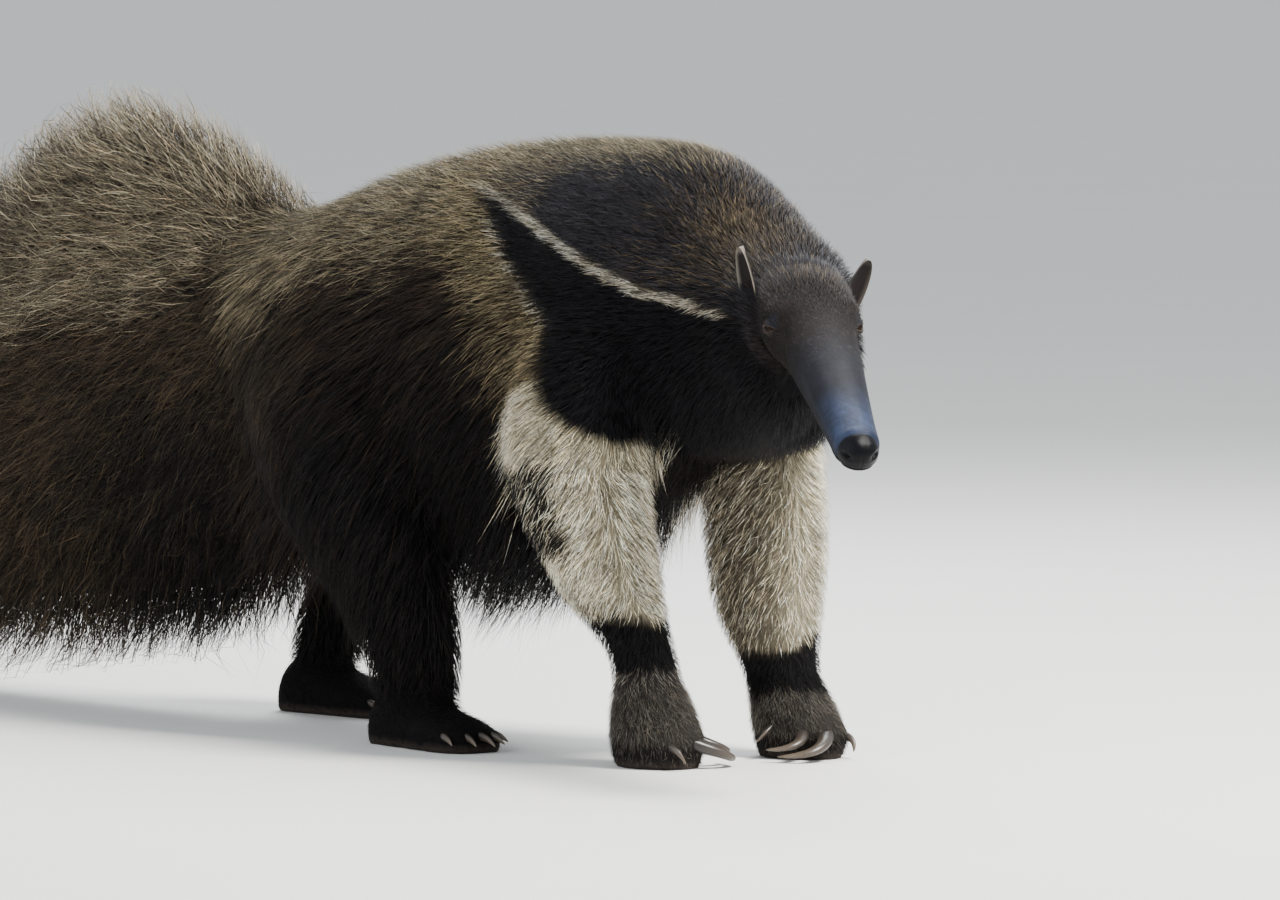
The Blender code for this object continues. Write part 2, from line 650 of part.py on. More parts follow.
def main():
    clear_scene()
    parts = collection("giant_anteater")
    helpers = collection("cutters")

    rest = whole_body(helpers)
    helpers.objects.unlink(rest)
    parts.objects.link(rest)
    rest.name = "chest"

    # eyes sit in sockets cut from the head
    eyes = [eye("eye_%s" % s, s, parts) for s in "LR"]
    bpy.context.view_layer.update()
    for obj in eyes:
        mesh = obj.data
        mesh.transform(obj.matrix_world)
        obj.location = (0, 0, 0)
        bpy.context.view_layer.update()
        boolean(rest, grown(obj, obj.name + "_socket", GAP * 1.6, helpers), "DIFFERENCE")
    tidy(rest)

    regions = []
    # the head, from the nose back
    for name, s in (("nose", 22.9), ("snout", 3.4), ("head", -8.2)):
        regions.append((name, ahead_of(on_head(s, 0, 0), FORWARD, LEFT, 0.40,
                                       NECK_BREADTH if name == "head" else 0.16)))
    regions.append(("neck", ahead_of(cm(3.2, -0.6, 50.0), Vector((0.86, -0.30, 0.34)),
                                     Vector((0.3, 0.86, 0)), 0.5, 0.44)))
    # forelegs, from the hand up
    for side, hand in (("R", HAND_R[0]), ("L", HAND_L[0])):
        x, y = hand[0], hand[1]
        sign = -1 if side == "R" else 1
        low, high = sorted((y - 7.6 * sign, y + 9.0 * sign))
        regions.append(("hand_" + side, upright_box(x - 9, x + 14, low, high, -3, 9.6)))
        leg = FORELEG_R if side == "R" else FORELEG_L
        low, high = sorted((0.6 * sign, 30.0 * sign))
        regions.append(("foreleg_lower_" + side,
                        upright_box(-15.4, 12, low, high, 3, 20.6)))
        top, mid, low = leg[2], leg[3], leg[5]
        inner = 0.9 * sign    # keeps the two sleeves clear of each other
        regions.append(("foreleg_upper_" + side,
                        ([(top[0], top[1] + inner, 35.0) + top[3:],
                          (mid[0], mid[1] + inner, 28.0) + mid[3:],
                          (low[0], low[1] + inner, 19.0) + low[3:],
                          (low[0], low[1] + inner, 14.0) + low[3:]], 1.7)))
    # hind legs, from the foot up
    for side, rows in (("R", HINDLEG_R), ("L", HINDLEG_L)):
        sign = -1 if side == "R" else 1
        low, high = sorted((2.6 * sign, 30.0 * sign))
        foot = rows[-1]
        regions.append(("hindfoot_" + side,
                        upright_box(foot[0] - 9, foot[0] + 20, low, high, -3, 6.6)))
        hip, knee, shin, ankle = rows[2], rows[3], rows[4], rows[5]
        regions.append(("hindleg_lower_" + side,
                        ([(shin[0] * 0.7 + ankle[0] * 0.3, shin[1], 14.8) + shin[3:],
                          ankle,
                          rows[6][:3] + ankle[3:],
                          (foot[0], foot[1], 3.0) + ankle[3:]], 1.0)))
        regions.append(("thigh_" + side,
                        ([(hip[0], hip[1], 34.0) + hip[3:],
                          (hip[0], hip[1], 30.0) + hip[3:],
                          (knee[0], knee[1], 22.5) + knee[3:],
                          (shin[0], shin[1], 14.0) + shin[3:],
                          (shin[0], shin[1], 10.0) + shin[3:]], 1.4)))
    # the tail, from the tip forward
    for name, x, lean in (("tail_tip", -121.0, 0.0), ("tail_rear", -102.0, 0.0),
                          ("tail_middle", -83.0, 0.0), ("tail_base", -64.5, -0.12)):
        regions.append((name, ahead_of(cm(x, 0, 36), Vector((-1, 0, lean)),
                                       Vector((0, 1, 0)), 1.6)))
    # the trunk, in three lengths
    regions.append(("rump", ahead_of(cm(-41.5, 0, 36), Vector((-1, 0, 0)),
                                     Vector((0, 1, 0)), 1.0)))
    regions.append(("flank", ahead_of(cm(-18.5, 0, 36), Vector((-1, 0, 0)),
                                      Vector((0, 1, 0)), 1.0)))
    pieces = {}
    for name, region in regions:
        pieces[name] = take(rest, name, region, helpers)
    pieces["chest"] = rest

    # ears and claws meet the body face to face
    for side in "LR":
        made = ear("ear_" + side, side, parts)
        for key in ("head", "neck"):
            boolean(made, grown(pieces[key], key + "_for_ear_" + side, GAP, helpers),
                    "DIFFERENCE")
            tidy(made)
        pieces[made.name] = made
        for digit in fore_claws(side, parts):
            pieces[digit.name] = digit
        for digit in hind_claws(side, parts):
            pieces[digit.name] = digit
        for key in [k for k in pieces if k.startswith(("foreclaw", "hindclaw"))
                    and k.endswith(side)]:
            carrier = ("hand_" if key.startswith("fore") else "hindfoot_") + side
            boolean(pieces[carrier],
                    grown(pieces[key], key + "_root", GAP * 1.4, helpers), "DIFFERENCE")
            tidy(pieces[carrier])
    for obj in eyes:
        pieces[obj.name] = obj

    looks = {
        "dark": material("fur_dark", FUR_DARK, 0.85),
        "grey": material("fur_grey", FUR_GREY, 0.85),
        "cream": material("fur_cream", FUR_CREAM, 0.8),
        "face": material("face_skin", FACE_GREY, 0.55),
        "horn": material("claw_horn", HORN, 0.35),
        "wet": material("eye_black", WET_BLACK, 0.08),
    }

    def look_of(name):
        for words, look in ((("claw",), "horn"), (("eye_", "nose"), "wet"),
                            (("snout", "head", "ear"), "face"),
                            (("foreleg",), "cream"), (("tail", "neck"), "grey")):
            if name.startswith(words) or (words == ("claw",) and "claw" in name):
                return look
        return "dark"

    # the origin goes under the middle of the whole animal's box
    low, high = Vector((9, 9, 9)), Vector((-9, -9, -9))
    for obj in pieces.values():
        for vert in obj.data.vertices:
            for i in range(3):
                low[i], high[i] = min(low[i], vert.co[i]), max(high[i], vert.co[i])
    shift = Vector((-(low.x + high.x) / 2, -(low.y + high.y) / 2, -low.z))
    for name, obj in pieces.items():
        obj.data.transform(Matrix.Translation(shift))
        obj.data.name = name
        obj.data.materials.clear()
        base = looks[look_of(name)]
        own = base.copy()
        own.name = base.name + "_" + name
        obj.data.materials.append(own)
        obj.data.shade_flat()
    for obj in list(helpers.objects):
        bpy.data.objects.remove(obj, do_unlink=True)
    print("shift", tuple(round(v, 5) for v in shift))


main()
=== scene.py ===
"""Giant anteater, still model in mid stride: one skin and its coat over the frame.

All tables are in centimetres in the animal's own frame: +X forward, +Y to its
left, +Z up.  The whole is moved by SHIFT, which is read from the frame's eye.
"""
import math

import bmesh
import bpy
import numpy as np
from mathutils import Matrix, Vector
from mathutils.bvhtree import BVHTree
from mathutils.kdtree import KDTree


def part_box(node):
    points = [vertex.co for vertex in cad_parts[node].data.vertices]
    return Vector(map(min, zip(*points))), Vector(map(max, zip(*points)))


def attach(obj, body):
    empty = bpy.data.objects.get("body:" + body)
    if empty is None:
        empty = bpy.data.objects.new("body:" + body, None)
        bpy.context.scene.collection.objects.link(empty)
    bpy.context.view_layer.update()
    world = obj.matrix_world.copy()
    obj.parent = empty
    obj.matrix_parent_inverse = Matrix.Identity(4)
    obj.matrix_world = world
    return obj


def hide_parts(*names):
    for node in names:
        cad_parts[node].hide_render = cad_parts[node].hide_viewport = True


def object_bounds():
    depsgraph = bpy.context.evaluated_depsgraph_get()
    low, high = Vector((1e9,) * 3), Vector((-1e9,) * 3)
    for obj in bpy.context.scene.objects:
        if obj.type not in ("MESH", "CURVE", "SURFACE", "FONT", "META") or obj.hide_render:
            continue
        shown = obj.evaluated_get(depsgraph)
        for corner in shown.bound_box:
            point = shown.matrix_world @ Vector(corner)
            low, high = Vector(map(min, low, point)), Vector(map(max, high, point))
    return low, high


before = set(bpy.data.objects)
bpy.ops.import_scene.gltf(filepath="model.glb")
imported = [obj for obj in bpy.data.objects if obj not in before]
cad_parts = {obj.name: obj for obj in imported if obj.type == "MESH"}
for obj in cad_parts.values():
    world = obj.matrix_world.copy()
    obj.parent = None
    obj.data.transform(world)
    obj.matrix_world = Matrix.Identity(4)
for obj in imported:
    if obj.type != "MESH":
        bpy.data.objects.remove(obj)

CAD_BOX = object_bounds()
CM = 0.01
RING = 40
RNG = np.random.default_rng(20407)

# ------------------------------------------------- outline to the coat's tips
TRUNK = (
    (12.0, 48.0, 34.0, 5.5, 2.0, 2.0),
    (9.0, 51.0, 31.5, 9.5, 2.0, 2.1),
    (3.0, 56.8, 30.5, 12.6, 2.0, 2.2),
    (-4.0, 61.6, 29.8, 14.4, 2.0, 2.3),
    (-11.0, 62.4, 26.0, 15.0, 2.0, 2.4),
    (-19.0, 62.5, 18.0, 14.8, 2.0, 2.5),
    (-28.0, 62.1, 14.8, 14.6, 2.0, 2.6),
    (-38.0, 60.7, 14.8, 14.6, 2.0, 2.5),
    (-48.0, 58.2, 17.4, 14.4, 2.0, 2.2),
    (-56.0, 55.2, 21.0, 13.6, 2.0, 2.1),
    (-64.0, 53.2, 25.0, 11.0, 2.0, 2.0),
    (-69.0, 52.0, 30.0, 7.0, 2.0, 2.0),
)
PLUME = (
    (-56.0, 51.0, 24.0, 9.6, 42.0),
    (-62.0, 54.0, 13.0, 11.0, 42.5),
    (-68.0, 57.9, 9.4, 10.6, 42.0),
    (-75.0, 62.0, 7.6, 10.2, 41.0),
    (-83.0, 64.9, 6.6, 9.8, 40.0),
    (-92.0, 66.0, 5.6, 9.4, 38.5),
    (-101.0, 61.3, 4.4, 8.8, 36.5),
    (-111.0, 55.4, 3.0, 7.9, 33.0),
    (-120.0, 47.5, 2.0, 6.8, 28.5),
    (-129.0, 37.0, 2.2, 5.2, 22.5),
    (-135.0, 28.0, 4.6, 3.2, 17.5),
    (-138.5, 20.5, 8.6, 1.3, 14.5),
)
NECK = (
    (-15.0, 0.0, 46.0, 12.5, 15.6, 15.5),
    (-5.0, 0.0, 46.0, 12.8, 15.6, 15.8),
    (2.5, -1.0, 46.2, 11.4, 9.9, 15.0),
    (8.6, -3.7, 46.2, 9.6, 7.2, 14.0),
    (13.4, -6.8, 46.2, 6.9, 5.0, 12.2),
    (17.0, -8.7, 46.0, 5.0, 2.9, 9.2),
)
EYES_MIDDLE = np.array((21.6, -11.0, 45.0))
HEAD_YAW, HEAD_PITCH = -33.6, -29.0
HEAD = (
    (-10.5, 4.9, 1.8, 8.6),
    (-8.0, 4.7, 2.45, 7.7),
    (-5.0, 4.7, 2.9, 6.5),
    (-2.0, 4.8, 3.15, 5.6),
    (0.0, 4.75, 3.25, 5.15),
    (3.0, 3.95, 3.15, 4.55),
    (9.0, 3.3, 2.8, 3.75),
    (14.0, 2.85, 2.5, 3.1),
    (19.0, 2.48, 2.2, 2.5),
    (21.8, 2.3, 2.05, 2.15),
    (23.2, 1.9, 1.85, 1.7),
    (24.4, 1.33, 1.36, 1.15),
    (24.9, 0.6, 0.65, 0.45),
)
FORELEG_R = (
    (-6.5, -7.0, 49.0, 8.0, 7.0),
    (-9.0, -9.5, 42.0, 8.8, 7.4),
    (-10.6, -11.6, 34.0, 8.4, 7.4),
    (-10.0, -12.0, 28.0, 7.9, 7.1),
    (-8.6, -11.8, 23.5, 7.0, 6.6),
    (-7.2, -11.2, 19.5, 6.0, 6.0),
    (-6.3, -10.6, 16.4, 5.3, 5.3),
    (-4.6, -9.9, 13.6, 4.1, 4.2),
    (-3.4, -9.4, 10.6, 3.6, 3.7),
    (-3.0, -9.2, 7.6, 3.9, 3.9),
)
FORELEG_L = (
    (-5.0, 6.0, 49.0, 8.0, 7.0),
    (-6.0, 8.0, 42.0, 8.6, 7.2),
    (-5.6, 8.8, 34.0, 7.6, 6.9),
    (-4.6, 8.7, 28.0, 7.0, 6.6),
    (-3.9, 8.4, 23.5, 7.0, 6.5),
    (-3.3, 8.0, 19.5, 6.7, 6.3),
    (-2.9, 7.7, 16.0, 6.2, 5.9),
    (-2.3, 7.7, 13.0, 5.5, 5.3),
    (-1.6, 7.8, 10.4, 4.6, 4.5),
    (-0.9, 7.9, 7.6, 4.1, 4.0),
)
HAND_R = (
    (-3.0, -9.2, 8.2, 3.9, 3.8),
    (-2.5, -9.2, 6.0, 4.6, 4.2),
    (-1.9, -9.3, 3.6, 5.3, 4.5),
    (-1.6, -9.4, 1.4, 5.3, 4.3),
    (-1.6, -9.4, -0.6, 4.9, 3.9),
)
HAND_L = (
    (-0.9, 7.9, 8.2, 3.9, 3.8),
    (0.0, 8.0, 6.0, 4.6, 4.2),
    (0.8, 8.2, 3.6, 5.3, 4.5),
    (1.2, 8.3, 1.4, 5.3, 4.3),
    (1.2, 8.3, -0.6, 4.9, 3.9),
)
HINDLEG_R = (
    (-50.0, -6.0, 46.0, 11.0, 6.5),
    (-48.5, -8.4, 38.0, 12.2, 7.0),
    (-46.0, -10.2, 30.0, 12.0, 6.8),
    (-41.8, -11.0, 22.5, 10.4, 6.4),
    (-38.2, -11.1, 16.5, 8.2, 5.8),
    (-35.8, -11.1, 11.8, 6.7, 5.2),
    (-35.0, -10.9, 7.8, 5.6, 4.6),
    (-34.7, -10.8, 4.2, 5.0, 4.2),
)
HINDLEG_L = (
    (-52.0, 6.0, 46.0, 11.0, 6.5),
    (-53.0, 9.0, 38.0, 12.2, 7.0),
    (-55.5, 10.8, 30.0, 12.0, 6.8),
    (-59.5, 11.0, 22.5, 9.8, 6.2),
    (-63.6, 10.2, 16.5, 7.2, 5.4),
    (-67.0, 9.4, 11.8, 5.5, 4.7),
    (-68.8, 8.8, 7.8, 4.4, 3.9),
    (-69.2, 8.4, 4.2, 4.2, 3.6),
)
HIND_FOOT = (
    (-5.8, 1.7, 3.2), (-4.6, 3.0, 5.6), (-1.0, 3.5, 6.4), (3.0, 3.8, 5.0),
    (7.0, 4.2, 3.9), (9.6, 3.9, 3.1), (11.2, 2.6, 2.3),
)
HIND_FEET = {"R": (-35.0, -10.9, -6.0), "L": (-68.6, 8.4, 5.0)}
FORE_CLAWS = {
    "2": (3.0, 2.6, 2.7, 6.2, 0.80), "3": (4.2, 0.6, 2.5, 8.2, 1.00),
    "1": (0.2, 3.9, 3.2, 2.6, 0.42), "4": (4.3, -2.2, 2.2, 2.6, 0.48),
}
EYE_SIDE, EYE_RISE, EYE_RADIUS = 4.2, -0.2, 0.78
EAR_BACK, EAR_SIDE, EAR_RISE = -6.3, 4.45, -2.4
EAR_LENGTH, EAR_WIDTH = {"L": 5.7, "R": 6.7}, {"L": 3.3, "R": 2.8}
EAR_LEAN = {"L": 0.46, "R": 0.22}
EAR_OUT = {"L": (0.55, 0.80), "R": (0.85, 0.35)}

# ------------------------------------------------------- the skin in the coat
TRUNK_SKIN = (
    (12.0, 46.4, 35.4, 4.8, 2.0, 2.0),
    (9.0, 49.6, 33.2, 8.5, 2.0, 2.1),
    (3.0, 55.4, 32.2, 11.4, 2.0, 2.2),
    (-4.0, 60.2, 31.6, 13.1, 2.0, 2.2),
    (-11.0, 61.1, 30.3, 13.6, 2.0, 2.2),
    (-19.0, 60.7, 24.0, 13.0, 2.0, 2.2),
    (-28.0, 59.3, 21.5, 12.4, 2.0, 2.1),
    (-38.0, 57.4, 21.5, 12.2, 2.0, 2.1),
    (-48.0, 55.2, 23.5, 11.9, 2.0, 2.1),
    (-56.0, 53.2, 26.5, 10.8, 2.0, 2.1),
    (-64.0, 50.7, 33.0, 8.2, 2.0, 2.0),
    (-69.0, 47.0, 36.5, 5.5, 2.0, 2.0),
)
PLUME_SKIN = (
    (-56.0, 50.0, 30.0, 7.0, 42.0),
    (-62.0, 51.6, 21.0, 8.2, 42.5),
    (-68.0, 53.8, 16.5, 7.9, 42.0),
    (-75.0, 57.0, 14.5, 7.4, 41.0),
    (-83.0, 59.6, 13.5, 6.9, 40.0),
    (-92.0, 60.2, 12.5, 6.4, 38.5),
    (-101.0, 56.6, 11.5, 5.8, 36.5),
    (-111.0, 49.8, 10.2, 4.9, 33.0),
    (-120.0, 41.5, 9.5, 3.8, 28.5),
    (-128.0, 31.5, 9.8, 2.4, 22.5),
    (-132.5, 24.0, 11.5, 1.0, 18.0),
)


# ------------------------------------------------------------------- helpers
def unit(v):
    return v / np.maximum(np.linalg.norm(v, axis=-1, keepdims=True), 1e-9)


def smooth(low, high, x):
    t = np.clip((x - low) / (high - low), 0.0, 1.0)
    return t * t * (3 - 2 * t)


def bump_at(x, middle, width):
    return np.exp(-((x - middle) / width) ** 2)


def head_axes():
    yaw, pitch = math.radians(HEAD_YAW), math.radians(HEAD_PITCH)
    flat = np.array((math.cos(yaw), math.sin(yaw), 0.0))
    ahead = flat * math.cos(pitch) + np.array((0, 0, 1.0)) * math.sin(pitch)
    left = np.array((-math.sin(yaw), math.cos(yaw), 0.0))
    return ahead, left, np.cross(ahead, left)


FORWARD, LEFT, UPWARD = head_axes()


def on_head(s, side, rise):
    s, side, rise = (np.asarray(v, float)[..., None] for v in (s, side, rise))
    return EYES_MIDDLE + FORWARD * s + LEFT * side + UPWARD * rise


def to_head(points):
    q = points - EYES_MIDDLE
    return q @ FORWARD, q @ LEFT, q @ UPWARD


def eye_shift():
    low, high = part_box("eye_R")
    return np.array((low + high) / 2) - on_head(0.0, -EYE_SIDE, EYE_RISE) * CM


SHIFT = eye_shift()


def place(points):
    """From centimetres in the animal's frame to metres in the row frame."""
    return np.asarray(points) * CM + SHIFT


def signed_power(value, power):
    return np.copysign(np.abs(value) ** power, value)


def ring(middle, side, up, half, above, below, n_above=2.0, n_below=2.0, count=RING):
    angle = 2.0 * math.pi * np.arange(count) / count
    c, s = np.cos(angle), np.sin(angle)
    n = np.where(s >= 0, n_above, n_below)
    reach = np.where(s >= 0, above, below)
    return (np.asarray(middle, float)
            + np.outer(half * signed_power(c, 2.0 / n), side)
            + np.outer(reach * signed_power(s, 2.0 / n), up))


def smooth_rows(rows, per_span):
    rows = np.array(rows, float)
    out = []
    last = len(rows) - 1
    for i in range(last):
        p0, p1, p2, p3 = (rows[max(i - 1, 0)], rows[i], rows[i + 1],
                          rows[min(i + 2, last)])
        for k in range(per_span):
            t = k / per_span
            out.append(0.5 * (2 * p1 + (p2 - p0) * t
                              + (2 * p0 - 5 * p1 + 4 * p2 - p3) * t * t
                              + (3 * p1 - p0 - 3 * p2 + p3) * t ** 3))
    out.append(rows[last])
    return np.array(out)


def add_loft(bm, rings):
    """A closed body through rings of equal count, capped by fans."""
    part = bmesh.new()
    rows = [[part.verts.new(p) for p in points] for points in rings]
    count = len(rings[0])
    for low, high in zip(rows, rows[1:]):
        for i in range(count):
            j = (i + 1) % count
            part.faces.new((low[i], low[j], high[j], high[i]))
    for row in (rows[0], rows[-1]):
        middle = part.verts.new(sum((v.co for v in row), Vector()) / count)
        for i in range(count):
            part.faces.new((row[i], row[(i + 1) % count], middle))
    bmesh.ops.recalc_face_normals(part, faces=part.faces)
    if part.calc_volume(signed=True) < 0:
        bmesh.ops.reverse_faces(part, faces=part.faces)
    mesh = bpy.data.meshes.new("loft")
    part.to_mesh(mesh)
    part.free()
    bm.from_mesh(mesh)
    bpy.data.meshes.remove(mesh)


def trunk_rings(rows):
    rings = []
    for x, top, low, half, n_above, n_below in smooth_rows(rows, 3):
        waist = low + (top - low) * 0.48
        rings.append(ring((x, 0, waist), (0, 1, 0), (0, 0, 1), half, top - waist,
                          waist - low, n_above, n_below))
    return rings


def plume_rings(rows, lean=0.0):
    return [ring((x, 0, core), (0, 1, 0), (0, 0, 1), half, top - core, core - low,
                 1.6 + lean, 1.55 + lean)
            for x, top, low, half, core in smooth_rows(rows, 3)]


def neck_rings(inset=0.0):
    rows = smooth_rows(NECK, 3)
    rings = []
    for i, (x, y, z, half, above, below) in enumerate(rows):
        before, after = rows[max(i - 1, 0)], rows[min(i + 1, len(rows) - 1)]
        along = unit(after[:3] - before[:3])
        side = unit(np.cross((0, 0, 1.0), along))
        rings.append(ring((x, y, z), side, np.cross(along, side), half - inset,
                          above - inset, below - inset))
    return rings


def head_inset(s):
    return 0.16 - 0.11 * smooth(3.0, 10.0, s) + 0.95 * smooth(-3.0, -10.0, s)


def head_rings(inset=0.0):
    rings = []
    for s, half, above, below in smooth_rows(HEAD, 3):
        gap = inset * head_inset(s)
        rings.append(ring(on_head(s, 0, 0), LEFT, UPWARD, half - gap, above - gap,
                          below - gap, 2.15, 2.1))
    return rings


def upright_rings(rows, start=0.0, end=0.0):
    rows = smooth_rows(rows, 2)
    inset = np.linspace(start, end, len(rows))
    return [ring((x, y, z), (0, 1, 0), (1, 0, 0), wide - gap, long - gap, long - gap)
            for (x, y, z, long, wide), gap in zip(rows, inset)]


def foot_axes(side):
    x, y, yaw = HIND_FEET[side]
    turn = math.radians(yaw)
    return (np.array((x, y, 0.0)), np.array((math.cos(turn), math.sin(turn), 0.0)),
            np.array((-math.sin(turn), math.cos(turn), 0.0)))


def hind_foot_rings(side, inset=0.0):
    middle, along, across = foot_axes(side)
    return [ring(middle + along * s + np.array((0, 0, 1.2)), across, (0, 0, 1),
                 half - inset, top - 1.2 - inset, 2.2, 2.2, 3.0)
            for s, half, top in smooth_rows(HIND_FOOT, 2)]


def claw_path(root, start, bend_to, length, steps):
    """Points and directions down a curling claw."""
    point, points, ways = np.array(root, float), [], []
    for i in range(steps + 1):
        t = i / steps
        along = unit(start * (1 - t) + bend_to * t)
        points.append(point.copy())
        ways.append(along)
        point = point + along * (length / steps)
    return points, ways


def fore_claw_specs(side):
    hand = (HAND_R if side == "R" else HAND_L)[2]
    inward = 1.0 if side == "R" else -1.0
    for digit, (x, y, z, length, radius) in FORE_CLAWS.items():
        root = np.array((hand[0] + x, hand[1] + y * inward, z))
        start, end = (0.74, 0.56 * inward, -0.26), (-0.95, 0.32 * inward, -0.02)
        if digit == "1":
            start, end = (0.3, 0.9 * inward, -0.3), (-0.3, 0.5 * inward, -0.6)
        if digit == "4":
            start, end = (0.9, -0.2 * inward, -0.1), (0.1, 0.3 * inward, -0.6)
        yield ("foreclaw_%s_%s" % (digit, side), root, unit(np.array(start)),
               unit(np.array(end)), length, radius)


def hind_claw_specs(side):
    middle, along, across = foot_axes(side)
    turn = math.radians(HIND_FEET[side][2])
    for i in range(5):
        fan = (i - 2) / 2
        out = turn + math.radians(13 * fan)
        tip = np.array((math.cos(out), math.sin(out), 0.0))
        root = (middle + np.array((0, 0, 1.55)) + along * (10.1 - 1.9 * fan * fan)
                + across * (3.0 * fan))
        yield ("hindclaw_%d_%s" % (i + 1, side), root,
               unit(tip + np.array((0, 0, 0.12))), unit(tip + np.array((0, 0, -0.75))),
               2.4 * (1.0 - 0.22 * abs(fan)) + 0.9, 0.52)


def capsule_rings(a, b, ra, rb, count=16):
    """A rounded rod between two points, as rings."""
    a, b = np.array(a, float), np.array(b, float)
    along = unit(b - a)
    side = unit(np.cross(along, (0.13, 0.2, 1.0)))
    up = np.cross(along, side)
    rings = []
    for t, r, back in ((0, 0.35, -0.92), (0, 0.8, -0.6), (0, 1, 0), (1, 1, 0),
                       (1, 0.8, 0.6), (1, 0.35, 0.92)):
        radius = ra if t == 0 else rb
        rings.append(ring((a if t == 0 else b) + along * (back * radius), side, up,
                          radius * r, radius * r, radius * r, count=count))
    return rings


def blended(name, all_rings, voxel, rounds):
    """One smooth closed surface round many lofts, in centimetres."""
    bm = bmesh.new()
    for rings in all_rings:
        add_loft(bm, rings)
    mesh = bpy.data.meshes.new(name)
    bm.to_mesh(mesh)
    bm.free()
    obj = bpy.data.objects.new(name, mesh)
    bpy.context.scene.collection.objects.link(obj)
    blend = obj.modifiers.new("blend", "REMESH")
    blend.mode = "VOXEL"
    blend.voxel_size = voxel
    even = obj.modifiers.new("even", "SMOOTH")
    even.factor = 0.5
    even.iterations = rounds
    bpy.context.view_layer.update()
    graph = bpy.context.evaluated_depsgraph_get()
    made = bpy.data.meshes.new_from_object(obj.evaluated_get(graph))
    bpy.data.objects.remove(obj, do_unlink=True)
    bpy.data.meshes.remove(mesh)
    return made


def mesh_arrays(mesh):
    mesh.calc_loop_triangles()
    co = np.empty(len(mesh.vertices) * 3, np.float32)
    mesh.vertices.foreach_get("co", co)
    tri = np.empty(len(mesh.loop_triangles) * 3, np.int32)
    mesh.loop_triangles.foreach_get("vertices", tri)
    return co.reshape(-1, 3).astype(float), tri.reshape(-1, 3)


def envelope_mesh():
    rings = [trunk_rings(TRUNK), plume_rings(PLUME), neck_rings(), head_rings()]
    rings += [upright_rings(rows) for rows in
              (FORELEG_R, FORELEG_L, HAND_R, HAND_L, HINDLEG_R, HINDLEG_L)]
    rings += [hind_foot_rings(side) for side in "LR"]
    return blended("envelope", rings, 0.9, 5)


def skin_mesh():
    rings = [trunk_rings(TRUNK_SKIN), plume_rings(PLUME_SKIN, 0.15), neck_rings(1.05),
             head_rings(1.0)]
    rings += [upright_rings(FORELEG_R, 2.0, 0.5), upright_rings(FORELEG_L, 2.0, 0.5),
              upright_rings(HAND_R, 0.5, 0.3), upright_rings(HAND_L, 0.5, 0.3),
              upright_rings(HINDLEG_R, 2.4, 0.9), upright_rings(HINDLEG_L, 2.4, 0.9)]
    for side in "LR":
        rings.append(hind_foot_rings(side, 0.35))
        middle, along, across = foot_axes(side)
        for name, root, start, end, length, radius in hind_claw_specs(side):
            knuckle = root - along * 3.4 + np.array((0, 0, 0.55))
            rings.append(capsule_rings(knuckle, root - along * 0.1, 0.98, 0.84))
        for name, root, start, end, length, radius in fore_claw_specs(side):
            fat = radius * 1.0 + 0.42
            back = root - start * (2.4 if length > 4 else 1.5) + np.array((0, 0, 0.9))
            rings.append(capsule_rings(back, root, fat * 1.12, fat))
    return blended("skin", rings, 0.72, 5)


# ------------------------------------------------------- the fields in a grid
class Field:
    """Signed distance to a closed mesh and its gradient, read from a grid."""

    def __init__(self, mesh, cell=1.25):
        co, tri = mesh_arrays(mesh)
        tree = BVHTree.FromPolygons([tuple(v) for v in co], [tuple(t) for t in tri])
        self.tree = tree
        self.low = np.array((-146.0, -26.0, -4.0))
        top = np.array((36.0, 24.0, 74.0))
        self.cell = cell
        self.count = np.ceil((top - self.low) / cell).astype(int) + 1
        nx, ny, nz = self.count
        grid = np.empty((nx, ny, nz), np.float32)
        lx, ly, lz = self.low
        find = tree.find_nearest
        for i in range(nx):
            x = lx + i * cell
            for j in range(ny):
                y = ly + j * cell
                for k in range(nz):
                    p = Vector((x, y, lz + k * cell))
                    hit, normal, index, far = find(p)
                    grid[i, j, k] = far if (p - hit).dot(normal) > 0 else -far
        gx, gy, gz = np.gradient(grid, cell)
        self.data = np.stack([grid, gx, gy, gz], -1)

    def at(self, points):
        q = (points - self.low) / self.cell
        base = np.clip(np.floor(q).astype(int), 0, self.count - 2)
        f = np.clip(q - base, 0, 1)
        out = 0.0
        for dx in (0, 1):
            wx = f[:, 0] if dx else 1 - f[:, 0]
            for dy in (0, 1):
                wy = f[:, 1] if dy else 1 - f[:, 1]
                for dz in (0, 1):
                    wz = f[:, 2] if dz else 1 - f[:, 2]
                    out = out + self.data[base[:, 0] + dx, base[:, 1] + dy,
                                          base[:, 2] + dz] * (wx * wy * wz)[:, None]
        return out[:, 0], unit(out[:, 1:])


# --------------------------------------------------------------- the head's skin
HEAD_ROWS = smooth_rows(HEAD, 6)


def head_section(s):
    """Half width, above and below of the bare head at s."""
    gap = head_inset(s)
    return [np.interp(s, HEAD_ROWS[:, 0], HEAD_ROWS[:, c]) - gap for c in (1, 2, 3)]


NOSE_FROM, NOSE_REACH = 22.5, 2.32
EYE_FACE = {"R": unit(FORWARD * 0.57 - LEFT * 0.80 + UPWARD * 0.16),
            "L": unit(FORWARD * 0.57 + LEFT * 0.80 + UPWARD * 0.16)}
LID = 0.86


def eye_frame(side):
    sign = 1.0 if side == "L" else -1.0
    middle = on_head(0.0, sign * EYE_SIDE, EYE_RISE)
    out = EYE_FACE[side]
    along = FORWARD * 0.80 - LEFT * (sign * 0.42) + UPWARD * 0.30
    along = unit(along - out * (along @ out))
    up = np.cross(along, out) * sign
    if up @ UPWARD < 0:
        up = -up
    return middle, out, along, up


